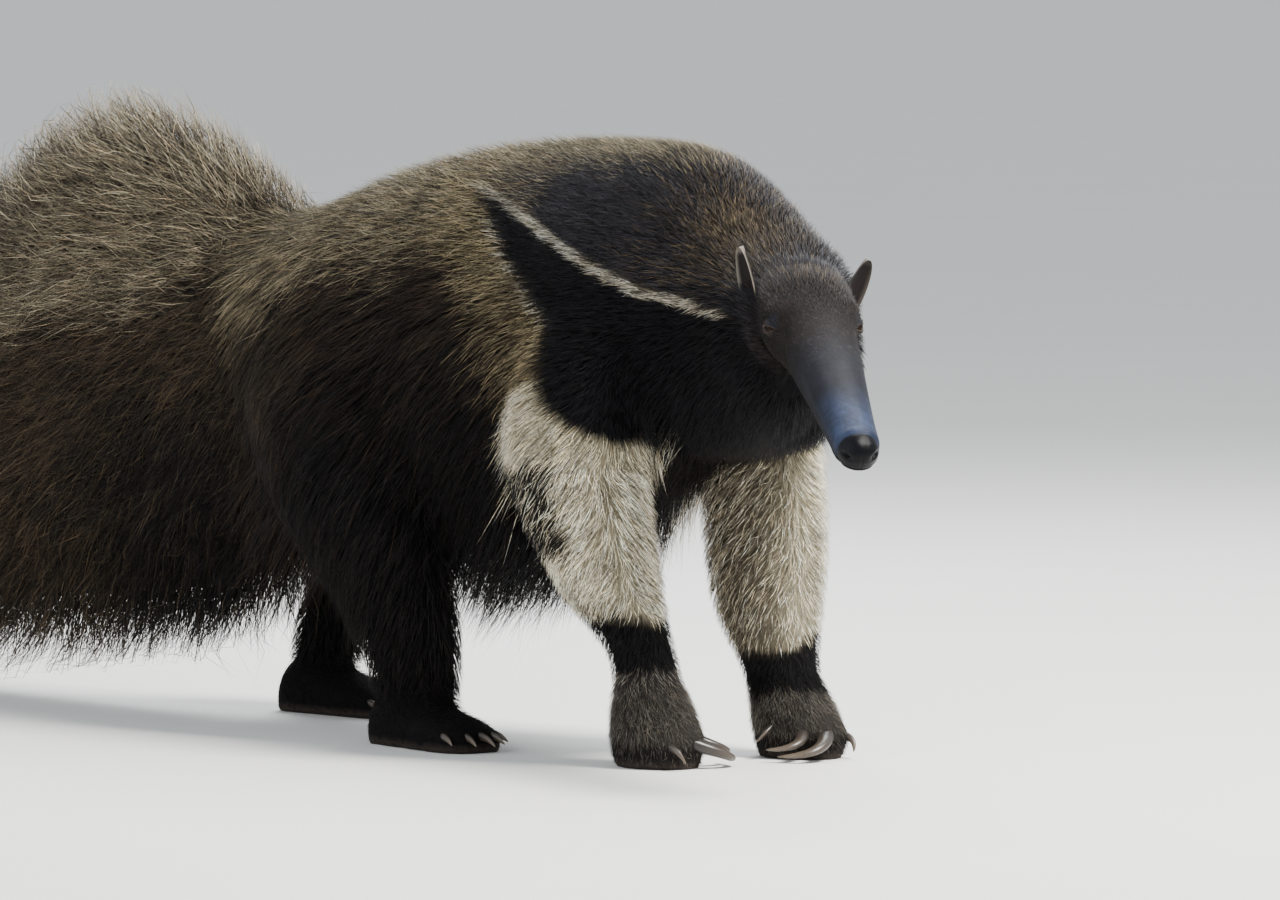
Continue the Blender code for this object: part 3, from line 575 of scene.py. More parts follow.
def refine_head(mesh):
    bm = bmesh.new()
    bm.from_mesh(mesh)
    tests = [
        lambda c: -7.5 < c[0] < 26 and abs(c[1]) < 6 and -8.5 < c[2] < 5.5,
        lambda c: -3.5 < c[0] < 26 and abs(c[1]) < 6 and -7.5 < c[2] < 5.5,
        lambda c: c[0] > 20.8 or (abs(abs(c[1]) - 3.9) < 1.7 and abs(c[0] - 0.4) < 2.1
                                  and abs(c[2] - 0.1) < 1.9),
        lambda c: (abs(abs(c[1]) - 3.9) < 1.2 and abs(c[0] - 0.2) < 1.15
                   and abs(c[2] - 0.15) < 1.0),
    ]
    for test in tests:
        edges = set()
        for face in bm.faces:
            q = np.array(face.calc_center_median()) - EYES_MIDDLE
            if test((q @ FORWARD, q @ LEFT, q @ UPWARD)):
                edges.update(face.edges)
        bmesh.ops.subdivide_edges(bm, edges=list(edges), cuts=1, use_grid_fill=True)
    bmesh.ops.triangulate(bm, faces=[f for f in bm.faces if len(f.verts) > 4])
    bm.to_mesh(mesh)
    bm.free()


def shape_head(mesh):
    """Rounds the refined head to its sections and adds lids, folds and muzzle."""
    count = len(mesh.vertices)
    co = np.empty(count * 3, np.float32)
    mesh.vertices.foreach_get("co", co)
    co = co.reshape(-1, 3).astype(float)
    s, a, r = to_head(co)
    near = (s > -6.0) & (np.abs(a) < 5.5) & (r > -8.0) & (r < 5.0)
    half, above, below = head_section(np.minimum(s, NOSE_FROM))
    high = np.where(r >= 0, above, below)
    power = 2.12
    flat = ((np.abs(a) / half) ** power + (np.abs(r) / high) ** power) ** (1 / power)
    tip = s > NOSE_FROM
    round_ = np.sqrt((a / half) ** 2 + (r / high) ** 2
                     + ((s - NOSE_FROM) / NOSE_REACH) ** 2)
    f = np.where(tip, round_, flat)
    # pure sections ahead of the eyes, the blended skin behind them
    weight = smooth(-4.0, -1.0, s) * near * (f > 0.6)
    a2 = a * (1 - weight + weight / np.maximum(f, 0.3))
    r2 = r * (1 - weight + weight / np.maximum(f, 0.3))
    s2 = np.where(tip, NOSE_FROM + (s - NOSE_FROM) * (1 - weight + weight / f), s)
    out = np.stack([np.zeros(count), a2 / half ** 2, r2 / high ** 2], 1)
    out[:, 0] = np.where(tip, (s2 - NOSE_FROM) / NOSE_REACH ** 2, 0.02)
    out = unit(out)
    # brow over the eye, hollow cheek before and below it
    side = np.abs(a2)
    push = 0.16 * np.exp(-((s2 + 0.4) / 1.5) ** 2 - ((r2 - 1.75) / 0.8) ** 2) * (side > 2)
    push -= 0.30 * np.exp(-((s2 - 3.1) / 1.7) ** 2 - ((r2 + 0.5) / 1.5) ** 2) * smooth(1.6, 2.8, side)
    push += 0.12 * np.exp(-((s2 - 1.0) / 2.6) ** 2 - ((r2 + 2.6) / 0.8) ** 2)
    # the bridge stands a little proud along the snout, its sides are flatter
    push += 0.05 * bump_at(a2, 0.0, 0.9) * smooth(2, 6, s2) * smooth(23, 20, s2) * (r2 > 0)
    push -= 0.07 * bump_at(side, 1.9, 0.6) * bump_at(r2, 1.0, 0.7) * smooth(3, 8, s2) * smooth(22, 18, s2)
    # rhinarium, a rounded pad with a groove behind it and down its middle
    edge = 22.75 + 0.25 * np.clip(-r2, -1, 1.4)
    push -= 0.13 * bump_at(s2, edge, 0.20) * (r2 > -1.2)
    push -= 0.03 * smooth(0, 0.5, s2 - edge) * (r2 > -1.1)
    push += 0.05 * bump_at(s2, edge - 0.55, 0.35) * (r2 > -1.2)
    push -= 0.05 * bump_at(a2, 0.0, 0.10) * smooth(24.0, 24.6, s2) * (r2 < 0.5)
    # nostrils, commas that open to the sides
    for sign in (-1, 1):
        q1 = (s2 - 24.0) / 0.42
        q2 = (r2 - 0.30 - 0.25 * (24.0 - s2)) / 0.26
        q3 = (a2 - sign * 1.35) / 0.75
        push -= 0.46 * np.exp(-q1 ** 2 - q2 ** 2 - q3 ** 2)
        push += 0.09 * np.exp(-((s2 - 23.9) / 0.75) ** 2 - ((r2 - 0.62) / 0.30) ** 2 - q3 ** 2)
    # mouth slit with its lips
    line = -0.92 + 0.10 * (24.0 - s2)
    slit = smooth(20.6, 21.6, s2) * bump_at(r2, line, 0.085)
    push -= 0.26 * slit
    push += 0.06 * smooth(20.6, 21.6, s2) * (bump_at(r2, line - 0.26, 0.16)
                                              + bump_at(r2, line + 0.24, 0.14))
    # fine creases across the muzzle and behind the mouth's corner
    push -= 0.030 * bump_at(s2, 20.2 + 0.35 * r2, 0.10) * (np.abs(r2 + 0.6) < 1.2) * (side > 1.2)
    push -= 0.025 * bump_at(s2, 19.3 + 0.35 * r2, 0.09) * (np.abs(r2 + 0.6) < 1.1) * (side > 1.2)
    push = push * weight
    points = on_head(s2, a2, r2)
    shift = (out[:, :1] * FORWARD + out[:, 1:2] * LEFT + out[:, 2:] * UPWARD)
    points = np.where((weight > 0)[:, None], points + shift * push[:, None], co)
    # lids: the skin swells over each eyeball and opens in an almond
    opening = np.zeros(count)
    for label in "RL":
        middle, face, along, up = eye_frame(label)
        q = points - middle
        far = np.linalg.norm(q, axis=1)
        ray = q / np.maximum(far, 1e-6)[:, None]
        facing = ray @ face
        close = (far < 2.6) & (facing > -0.25)
        x, y = LID * (ray @ along), LID * (ray @ up)
        front = facing > 0.15
        w = 0.80
        arch = np.clip(1 - (x / w) ** 2, 0, 1)
        upper, lower = 0.38 * arch ** 0.85, -0.31 * arch ** 1.1
        inside = np.minimum(upper - y, y - lower)
        inside = np.where((np.abs(x) < w) & front, inside,
                          -np.maximum(np.hypot(np.maximum(np.abs(x) - w, 0), y), 0.03))
        open_ = smooth(-0.035, 0.045, inside) * front
        # distance outside the almond, for rims and folds
        away_up = y - 0.38 * np.clip(1 - (x / 1.04) ** 2, 0, 1)
        away_low = -0.31 * np.clip(1 - (x / 1.04) ** 2, 0, 1) - y
        ball = LID + 0.045 * np.exp(-(inside / 0.075) ** 2) * front
        ball = ball + 0.11 * bump_at(away_up, 0.26, 0.10) * (np.abs(x) < 0.95)
        ball = ball - 0.065 * bump_at(away_up, 0.125, 0.045) * (np.abs(x) < 0.85)
        ball = ball + 0.075 * bump_at(away_low, 0.17, 0.09) * (np.abs(x) < 0.9)
        ball = ball - 0.065 * bump_at(away_low, 0.34, 0.06) * (np.abs(x) < 1.0)
        reach = ball * smooth(-0.2, 0.35, facing)
        k = 0.30
        h = np.clip(0.5 + 0.5 * (far - reach) / k, 0, 1)
        blend = reach * (1 - h) + far * h + k * h * (1 - h)
        blend = np.where(front & (open_ > 0), blend * (1 - open_) + 0.60 * open_, blend)
        fold = -0.09 * bump_at((ray @ up) * far + 0.30 * (ray @ along) * far, -1.05, 0.07) \
            * (far < 1.9) * ((ray @ along) * far > -1.0) * smooth(1.9, 1.3, far)
        new = middle + ray * (blend + fold)[:, None]
        mix = (smooth(2.5, 1.7, far) * close)[:, None]
        points = points * (1 - mix) + new * mix
        opening = np.maximum(opening, open_ * (far < 1.5))
    mesh.vertices.foreach_set("co", points.astype(np.float32).ravel())
    mesh.update()
    return opening


# ------------------------------------------------------------------- markings
def srgb(r, g, b):
    c = np.array((r, g, b), float) / 255.0
    return np.where(c <= 0.04045, c / 12.92, ((c + 0.055) / 1.055) ** 2.4)


# each kind of hair: root, middle and tip
HAIR = {
    "back": (srgb(20, 17, 15), srgb(42, 36, 31), srgb(198, 182, 146)),
    "flank": (srgb(10, 8, 9), srgb(20, 16, 15), srgb(84, 68, 52)),
    "black": (srgb(7, 6, 7), srgb(12, 10, 11), srgb(34, 29, 28)),
    "gold": (srgb(30, 25, 19), srgb(62, 52, 38), srgb(214, 196, 152)),
    "band": (srgb(8, 7, 10), srgb(12, 11, 15), srgb(22, 21, 27)),
    "stripe": (srgb(84, 78, 68), srgb(168, 160, 142), srgb(234, 228, 208)),
    "cream": (srgb(70, 62, 50), srgb(206, 195, 165), srgb(254, 248, 228)),
    "grey": (srgb(34, 30, 27), srgb(86, 78, 66), srgb(182, 170, 146)),
    "bracelet": (srgb(9, 8, 9), srgb(15, 13, 14), srgb(30, 27, 27)),
    "hand": (srgb(26, 24, 23), srgb(56, 52, 48), srgb(150, 142, 130)),
    "neck": (srgb(13, 12, 14), srgb(28, 27, 31), srgb(72, 69, 74)),
    "crown": (srgb(22, 18, 15), srgb(44, 37, 30), srgb(138, 120, 90)),
    "face": (srgb(14, 12, 12), srgb(25, 21, 21), srgb(70, 60, 54)),
    "plume": (srgb(24, 20, 17), srgb(48, 41, 34), srgb(176, 162, 133)),
    "plume_dark": (srgb(12, 10, 9), srgb(25, 21, 18), srgb(92, 78, 60)),
    "hind": (srgb(10, 8, 9), srgb(18, 15, 15), srgb(48, 40, 35)),
    "fringe": (srgb(12, 10, 10), srgb(22, 18, 17), srgb(66, 54, 44)),
}
KINDS = list(HAIR)
TONES = np.array([HAIR[k] for k in KINDS])          # kind, stage, colour


def noise3(points, size, seed):
    """Smooth value noise, -1 to 1, from a hashed lattice."""
    q = points / size + seed * 17.31
    base = np.floor(q).astype(np.int64)
    f = q - base
    f = f * f * (3 - 2 * f)
    out = np.zeros(len(points))
    for dx in (0, 1):
        for dy in (0, 1):
            for dz in (0, 1):
                h = ((base[:, 0] + dx) * 73856093 ^ (base[:, 1] + dy) * 19349663
                     ^ (base[:, 2] + dz) * 83492791 ^ seed * 2654435)
                h = (h * 1103515245 + 12345) & 0x7fffffff
                value = (h >> 8) % 4096 / 2047.5 - 1.0
                w = ((f[:, 0] if dx else 1 - f[:, 0]) * (f[:, 1] if dy else 1 - f[:, 1])
                     * (f[:, 2] if dz else 1 - f[:, 2]))
                out += value * w
    return out


def leg_axis(rows, z):
    rows = np.array(rows)[::-1]
    return [np.interp(z, rows[:, 2], rows[:, c]) for c in (0, 1, 3, 4)]


def leg_measure(points, rows, top):
    cx, cy, long_, wide = leg_axis(rows, points[:, 2])
    m = np.hypot((points[:, 0] - cx) / long_, (points[:, 1] - cy) / wide)
    return np.where(points[:, 2] > top, 9.0, m)


PARTS = ("trunk", "neck", "head", "tail", "foreleg_R", "foreleg_L", "hand_R",
         "hand_L", "hindleg_R", "hindleg_L", "foot_R", "foot_L")
PART = {name: i for i, name in enumerate(PARTS)}


def part_of(points):
    x, y, z = points.T
    s, a, r = to_head(points)
    label = np.full(len(points), PART["trunk"])
    label[(x > 1.5 + 0.25 * (z - 45) - 0.25 * y) & (z > 30)] = PART["neck"]
    half, above, below = head_section(np.clip(s, -10, 24))
    high = np.where(r >= 0, above, below)
    label[(s > -6.8) & (np.hypot(a / half, r / high) < 1.32)] = PART["head"]
    label[x < -63.5 - 0.16 * (z - 40)] = PART["tail"]
    fore_r, fore_l = leg_measure(points, FORELEG_R, 31), leg_measure(points, FORELEG_L, 31)
    near = np.minimum(fore_r, fore_l) < 1.18
    label[near & (fore_r <= fore_l)] = PART["foreleg_R"]
    label[near & (fore_r > fore_l)] = PART["foreleg_L"]
    label[(z < 8.6) & (x > -20) & (y < 0)] = PART["hand_R"]
    label[(z < 8.6) & (x > -20) & (y >= 0)] = PART["hand_L"]
    hind_r, hind_l = leg_measure(points, HINDLEG_R, 27), leg_measure(points, HINDLEG_L, 25)
    label[(hind_r < 1.15) & (y < -1)] = PART["hindleg_R"]
    label[(hind_l < 1.15) & (y > 2)] = PART["hindleg_L"]
    label[(z < 6.4) & (x > -46) & (x < -21)] = PART["foot_R"]
    label[(z < 6.4) & (x > -80) & (x < -50) & (y > 2.5)] = PART["foot_L"]
    return label


# where the black bracelet ends over each hand
WRIST = {"R": 10.0, "L": 6.6}


def border_x(z):
    """The rear, lower border of the black band, as x for each height."""
    x = np.interp(z, (31.3, 33, 36, 38.5, 43.9, 52.7, 57.4),
                  (0, -5, -9.6, -11, -12, -22.8, -28.5))
    return np.where(z < 31.3, (31.3 - z) * 5.0, x)


def stripe_z(x):
    return np.interp(x, (-28.5, -11.9, -0.4, 6.6, 10.8, 15), (57.4, 52, 47.3, 46.2, 45.3, 44.6))


CREASE_X = (-138, -125, -101, -85, -72, -62)
CREASE_Z = (15, 26, 39.5, 42, 45, 54)


def kinds_of(points, label):
    """Share of each kind of hair at points of the coat: points x kinds."""
    x, y, z = points.T
    ragged = noise3(points, 1.6, 3) * 0.55 + noise3(points, 4.0, 5) * 0.45
    patch = noise3(points, 7.0, 8)
    share = np.zeros((len(points), len(KINDS)))
    at = {k: i for i, k in enumerate(KINDS)}

    def lay(kind, amount):
        nonlocal share
        amount = np.clip(amount, 0, 1)[:, None]
        share *= 1 - amount
        share[:, at[kind]] += amount[:, 0]

    # trunk, from the grizzled back down to the black skirts
    lay("flank", np.ones(len(points)))
    grizzled = np.interp(x, (-62, -50, -38, -25, -15), (40.5, 46.0, 49.5, 53.0, 55.0))
    lay("black", smooth(44, 30, z + 3.0 * patch + ragged) * smooth(-56, -44, x + 3 * patch) * 0.92)
    lay("plume_dark", smooth(-46, -58, x + 4 * patch) * smooth(26, 36, z) * 0.9)
    lay("back", smooth(-3.0, 4.0, z - grizzled + 2.0 * patch + ragged))
    behind = border_x(z + ragged * 0.4) - x
    side = smooth(4.5, 7.0, np.abs(y))
    lay("gold", smooth(-0.4, 0.6, behind) * smooth(15.5, 3.0, behind + 2.5 * patch)
        * smooth(31, 36, z) * (0.55 + 0.45 * smooth(58, 50, z)))
    rump = smooth(-40, -58, x + 3 * patch)
    lay("plume", rump * smooth(45, 53, z) * smooth(-0.5, 0.35, patch + 0.5 * ragged) * 0.62)
    # neck and crown over the stripe
    over = z - stripe_z(x) + ragged * 0.35
    front = smooth(-30, -14, x)
    lay("neck", front * smooth(0.0, 1.0, over) * smooth(62.5, 58, z - 0.06 * (x + 10)))
    nape = bump_at(x, 7.0, 6.5) * smooth(49.0, 54.0, z - 0.25 * y) * (0.8 + 0.4 * patch)
    lay("crown", nape)
    # the black band with the throat and chest, and its white upper edge
    in_band = smooth(-0.4, 0.4, -behind) * smooth(0.3, -0.4, over)
    lay("band", in_band * (x > -30))
    lay("stripe", smooth(-0.2, 0.3, behind) * smooth(1.5, 0.6, behind) * smooth(41, 45, z)
        * smooth(-27, -23, x) * 0.5)
    wide = np.interp(x, (-29, -24, -12, 0, 6, 9, 12), (0.12, 0.28, 0.42, 0.46, 0.38, 0.24, 0.0))
    lay("stripe", smooth(wide + 0.28, wide - 0.15, np.abs(over)) * (x > -29)
        * smooth(12.5, 8.5, x) * 0.85)
    lay("fringe", smooth(33.5, 30.8, z + ragged * 0.6) * smooth(-7, -3, x) * 0.8 * (1 - side))
    # the pale forelegs reach up to the band
    rear = np.interp(z, (20, 27, 33, 36, 39), (-17.5, -20.0, -20.0, -17.0, -12.5))
    pale = smooth(6.0, 8.0, np.abs(y) + 0.4 * ragged) * smooth(-0.1, 0.7, behind) * smooth(rear - 1.4, rear + 1.4, x + ragged)
    pale = pale * smooth(39.0, 37.4, z + ragged * 0.6) * smooth(15, 20, z)
    lay("cream", pale)
    lay("grey", pale * smooth(0.25, 0.8, noise3(points, 2.6, 11) + 0.35 * patch) * 0.35)

    tail = label == PART["tail"]
    if tail.any():
        crease = np.interp(x, CREASE_X, CREASE_Z)
        up = smooth(-3.5, 2.5, z - crease + 2.5 * patch + ragged)
        for kind, amount in (("plume_dark", np.ones(len(points))), ("plume", up)):
            lay(kind, amount * tail)
        lay("black", tail * smooth(40, 24, z + 4 * patch) * smooth(-100, -76, x) * 0.8)
    for name in "RL":
        rows = FORELEG_R if name == "R" else FORELEG_L
        leg = label == PART["foreleg_" + name]
        if leg.any():
            cx, cy, long_, wide_ = leg_axis(rows, z)
            lay("cream", leg * smooth(35.5, 33, z + ragged))
            mottled = smooth(0.2, 0.8, noise3(points, 2.6, 11) + 0.35 * patch)
            lay("grey", leg * mottled * 0.3)
            rear = smooth(-0.35, -0.85, (x - cx) / long_ + 0.15 * patch)
            lay("bracelet", leg * rear * smooth(33, 29, z) * smooth(15, 19, z) * 0.8)
            outside = 1.0 if name == "R" else -1.0
            patch_at = ((x - cx) / long_ + outside * (y - cy) / wide_) / 1.3 + 0.22 * patch
            lay("bracelet", leg * smooth(-0.28, -0.66, patch_at) * smooth(33.5, 30.5, z + ragged)
                * smooth(19, 22, z + ragged) * 0.75)
            # painted shade: the inner side of each foreleg, towards the body, is laid grey
            inner = smooth(0.1, 0.8, (y - cy) / wide_ * (1 if name == "R" else -1))
            lay("grey", leg * inner * 0.75)
            wrist = WRIST[name]
            lay("bracelet", leg * smooth(wrist + 5.5, wrist + 4.0, z + 1.5 * ragged + 0.8 * patch))
            lay("hand", leg * smooth(wrist + 0.4, wrist - 0.9, z + 1.3 * ragged))
        low = label == PART["hand_" + name]
        lay("hand", low.astype(float))
        lay("bracelet", low * smooth(WRIST[name] - 0.9, WRIST[name] + 0.4, z + 1.3 * ragged))
        lay("bracelet", low * smooth(2.6, 1.6, z + 0.4 * ragged) * 0.7)
        lay("hind", (label == PART["hindleg_" + name]) * smooth(31, 21, z + 3 * patch))
        lay("hind", (label == PART["foot_" + name]).astype(float))
    head = label == PART["head"]
    if head.any():
        s, a, r = to_head(points)
        lay("neck", head * 1.0)
        lay("crown", head * 0.35 * smooth(-1.0, 2.0, r))
        lay("face", head * smooth(-8.5, -0.5, s + 1.2 * ragged))
    return share


def skin_tones(points, opening):
    """Colour and roughness of the skin, marked like the coat over it."""
    label = part_of(points)
    share = kinds_of(points, label)
    tone = share @ (TONES[:, 1] * 0.3 + TONES[:, 0] * 0.3)
    rough = np.full(len(points), 0.85)
    s, a, r = to_head(points)
    head = (label == PART["head"])
    freckle = noise3(points, 0.16, 21) * 0.5 + noise3(points, 0.45, 22) * 0.5
    face = srgb(21, 17, 16)
    snout = srgb(22, 23, 28)
    # pale is a painted bluish sky sheen, which tip lays over the top of the muzzle's front part
    pale = srgb(46, 56, 80)
    bare = smooth(3.0, 12.5, s + 0.7 * noise3(points, 1.2, 23))
    tip = smooth(13.5, 20.5, s) * smooth(-1.0, 1.2, r) * (0.8 + 0.4 * noise3(points, 1.5, 25))
    mix = face[None] * (1 - bare[:, None]) + snout[None] * bare[:, None]
    mix = mix * (1 - 0.75 * tip[:, None]) + pale[None] * (0.75 * tip[:, None])
    cloud = noise3(points, 1.0, 27) * 0.6 + noise3(points, 0.45, 28) * 0.4
    mix = mix * (1 + 0.42 * freckle[:, None] + 0.24 * cloud[:, None])
    fleck = smooth(0.55, 0.80, noise3(points, 0.20, 31)) * smooth(14, 9, s) * smooth(-3, 0, s)
    mix = mix * (1 - 0.30 * fleck[:, None]) + srgb(74, 76, 82) * (0.30 * fleck[:, None])
    # painted shade on the underside of the head, darker towards the jaw
    under = smooth(0.2, -2.2, r)
    mix = mix * (1 - 0.42 * under[:, None])
    rough = np.where(head, 0.68 - 0.20 * bare - 0.12 * tip, rough)
    # dark round the eyes and nostrils, painted bluish sheen on the folds above the eyes, painted shade in
    # the folds below them and in the mouth slit, glossy black rhinarium
    for name in "RL":
        middle, face_way, along, up = eye_frame(name)
        far = np.linalg.norm(points - middle, axis=1)
        mix = mix * (1 - 0.15 * smooth(1.9, 1.1, far)[:, None])
        lids = smooth(1.15, 0.85, far)[:, None]
        mix = mix * (1 - 0.60 * lids) + srgb(45, 39, 38) * (0.60 * lids)
        # a bluish patch on the fold above each eye: painted sky sheen
        q = points - (middle + UPWARD * 1.15 + FORWARD * 0.5)
        painted_brow_sheen = smooth(1.2, 0.3, np.linalg.norm(q, axis=1))
        mix = mix * (1 - 0.50 * painted_brow_sheen[:, None]) + srgb(40, 45, 60) * (0.50 * painted_brow_sheen[:, None])
        q = points - (middle - UPWARD * 1.25 + FORWARD * 0.35)
        shade = smooth(0.85, 0.25, np.linalg.norm(q, axis=1))
        mix = mix * (1 - 0.40 * shade[:, None])
    rim = np.clip(4 * opening * (1 - opening), 0, 1)[:, None]
    mix = mix * (1 - 0.9 * opening[:, None]) + srgb(12, 9, 8) * (0.9 * opening[:, None])
    mix = mix * (1 - 0.8 * rim) + srgb(88, 76, 70) * (0.8 * rim)
    edge = 22.75 + 0.25 * np.clip(-r, -1, 1.4)
    pad = smooth(-0.10, 0.12, s - edge + 0.05 * freckle) * smooth(-1.35, -1.05, r)
    mix = mix * (1 - pad[:, None]) + srgb(9, 9, 12) * pad[:, None]
    rough = rough * (1 - pad) + 0.27 * pad
    # painted shade in the mouth slit: darker along the slit's line
    mouth_slit_shade = bump_at(r, -0.92 + 0.10 * (24.0 - s), 0.14) * smooth(20.8, 21.6, s)
    mix = mix * (1 - 0.75 * mouth_slit_shade[:, None])
    blend = (head * smooth(-6.5, -4.0, s))[:, None]
    tone = tone * (1 - blend) + mix * blend
    sole = smooth(0.7, 0.3, points[:, 2]) * (np.isin(label, [PART[k] for k in (
        "hand_R", "hand_L", "foot_R", "foot_L")]))
    tone = tone * (1 - sole[:, None]) + srgb(52, 46, 42) * sole[:, None]
    return label, np.clip(tone, 0, 1), np.clip(rough, 0.05, 1)


# ------------------------------------------------------------ the lie of the coat
def flow_trunk(points):
    x, y, z = points.T
    drop = np.interp(z, (18, 30, 40, 50, 58, 64), (68, 60, 46, 27, 10, 4))
    drop = drop + 26 * smooth(-41, -52, x) * bump_at(z, 44.0, 13.0) - 8 * smooth(-45, -62, x)
    mark = smooth(-30, -20, x) * bump_at(z, stripe_z(x), 7.0)
    drop = drop * (1 - 0.85 * mark)
    drop = drop + 8 * noise3(points, 9.0, 31) * (1 - 0.6 * mark)
    drop = np.radians(drop)
    out = 0.10 * np.tanh(y / 3.0) + 0.3 * smooth(-8, 3, x)
    return unit(np.stack([-np.cos(drop), out, -np.sin(drop)], 1))


def flow_neck(points):
    x, y, z = points.T
    drop = np.interp(z, (30, 40, 48, 58), (1.5, 0.7, 0.28, 0.10))
    back = unit(np.stack([np.full(len(x), -0.92), np.full(len(x), 0.36), -drop], 1))
    s, a, r = to_head(points)
    near = (smooth(-14.0, -6.0, s) * smooth(9.0, 5.5, np.hypot(a, r)))[:, None]
    return unit(back * (1 - near) + flow_head(points) * near)


def flow_tail(points):
    x, y, z = points.T
    mid = np.interp(x, CREASE_X, CREASE_Z)
    rows = np.array(PLUME)[::-1]
    top = np.interp(x, rows[:, 0], rows[:, 1])
    low = np.interp(x, rows[:, 0], rows[:, 2])
    q = np.where(z > mid, (z - mid) / np.maximum(top - mid, 4),
                 (z - mid) / np.maximum(mid - low, 4))
    q = np.clip(q, -1.1, 1.1)
    rise = np.where(q > 0, -4 + 16 * q + 52 * q ** 3,
                    -6 - (44 + 26 * smooth(-122, -84, x)) * np.abs(q) ** 0.42)
    rise = rise - 26 * smooth(-104, -134, x) * (q > 0) + 14 * noise3(points, 6.0, 33)
    rise = np.radians(rise)
    out = 0.16 * np.tanh(y / 2.5) + 0.25 * noise3(points, 5.0, 34)
    return unit(np.stack([-np.cos(rise), out, np.sin(rise)], 1))


def flow_head(points):
    s, a, r = to_head(points)
    return unit(-FORWARD + LEFT * (0.10 * np.sign(a) * smooth(1, 3, np.abs(a)))[:, None]
                + UPWARD * (-0.10 + 0.0 * r)[:, None])


def flow_foreleg(rows, azimuth):
    def flow(points):
        x, y, z = points.T
        cx, cy, long_, wide = leg_axis(rows, z)
        angle = np.arctan2(y - cy, x - cx)
        delta = (angle - azimuth + math.pi) % (2 * math.pi) - math.pi
        sway = 0.62 * np.exp(-(np.abs(delta) / 1.5) ** 2) * smooth(11, 19, z) * np.tanh(delta / 0.22)
        sway = sway + 0.30 * noise3(points, 4.0, 35)
        return unit(np.stack([-np.sin(angle) * sway, np.cos(angle) * sway,
                              np.full(len(x), -1.0)], 1))
    return flow


def flow_hindleg(points):
    x, y, z = points.T
    back = np.interp(z, (5, 12, 25, 40), (0.10, 0.25, 0.42, 0.55))
    return unit(np.stack([-back, 0.05 * np.tanh(y / 3), np.full(len(x), -1.0)], 1))


def flow_foot(points):
    x, y, z = points.T
    return unit(np.stack([np.full(len(x), 0.8), 0 * y, np.full(len(x), -0.55)], 1))


# ------------------------------------------------------------------ the strands
def spread_roots(co, tri, weight, count):
    """Points on triangles, evenly thinned by weight, with their normals."""
    a, b, c = co[tri[:, 0]], co[tri[:, 1]], co[tri[:, 2]]
    cross = np.cross(b - a, c - a)
    area = np.linalg.norm(cross, axis=1) / 2
    share = np.cumsum(area * weight)
    picks = (np.arange(count) + RNG.random(count)) / count * share[-1]
    index = np.clip(np.searchsorted(share, picks), 0, len(tri) - 1)
    u, v = RNG.random(count), RNG.random(count)
    flip = u + v > 1
    u[flip], v[flip] = 1 - u[flip], 1 - v[flip]
    points = (a[index] * (1 - u - v)[:, None] + b[index] * u[:, None]
              + c[index] * v[:, None])
    return points, unit(cross[index])


def march(roots, normals, flow, length, steps, stick, low_share, wander, skin, outer,
          proud=0.25, kink=0.0):
    """Paths that follow the flow between the skin and the coat's outline."""
    count = len(roots)
    paths = np.empty((count, steps + 1, 3))
    faces = np.empty((count, steps + 1, 3))
    here = roots - normals * 0.12
    paths[:, 0], faces[:, 0] = here, normals
    drift = RNG.normal(0, 1, (count, 3)) * wander
    here = roots.copy()
    for k in range(1, steps + 1):
        t = k / steps
        way = flow(here)
        near, up_near = skin.at(here)
        far, up_far = outer.at(here)
        depth = np.maximum(near - far, 0.2)
        level = np.clip(near / depth, 0, 1)[:, None]
        up = unit(up_near * (1 - level) + up_far * level)
        hold = stick * (1 - 0.85 * smooth(-0.15, -0.75, up[:, 2]))
        way = way - up * ((way * up).sum(1) * hold)[:, None]
        way = unit(way + drift * (0.5 + 0.8 * t) + RNG.normal(0, 1, (count, 3)) * kink)
        step = (length / steps)[:, None]
        ahead = here + way * step
        near, up_near = skin.at(ahead)
        far, up_far = outer.at(ahead)
        depth = np.maximum(near - far, 0.2)
        want = low_share * t ** 0.75 * depth
        lift = np.clip(want - near, 0, 0.85 * length / steps)
        ahead = ahead + up_near * lift[:, None]
        far, up_far = outer.at(ahead)
        sink = np.clip(far - proud * RNG.random(count), 0, None)
        ahead = ahead - up_far * sink[:, None]
        here = ahead
        paths[:, k], faces[:, k] = here, unit(up_near + up_far)
    return paths, faces


def clump(paths, roots, per_clump, strength, loose=0.35):
    """Draws strands towards guides, more so towards their tips."""
    count, stages = paths.shape[:2]
    guides = RNG.choice(count, max(count // per_clump, 1), replace=False)
    tree = KDTree(len(guides))
    for i, g in enumerate(guides):
        tree.insert(roots[g], i)
    tree.balance()
    own = np.array([guides[tree.find(p)[1]] for p in roots])
    t = np.linspace(0, 1, stages)[None, :, None]
    strength = np.asarray(strength)
    if strength.ndim:
        strength = strength[:, None, None]
    pull = strength * t ** 1.3 * (0.75 + 0.5 * RNG.random((count, 1, 1)))
    offset = (roots - roots[own])[:, None, :] * loose
    target = paths[own] + offset
    return paths * (1 - np.clip(pull, 0, 1)) + target * np.clip(pull, 0, 1), own


TAPER = {1: (1.0,), 2: (0.9, 0.85), 3: (0.85, 1.0, 0.66), 4: (0.8, 1.0, 0.86, 0.52)}


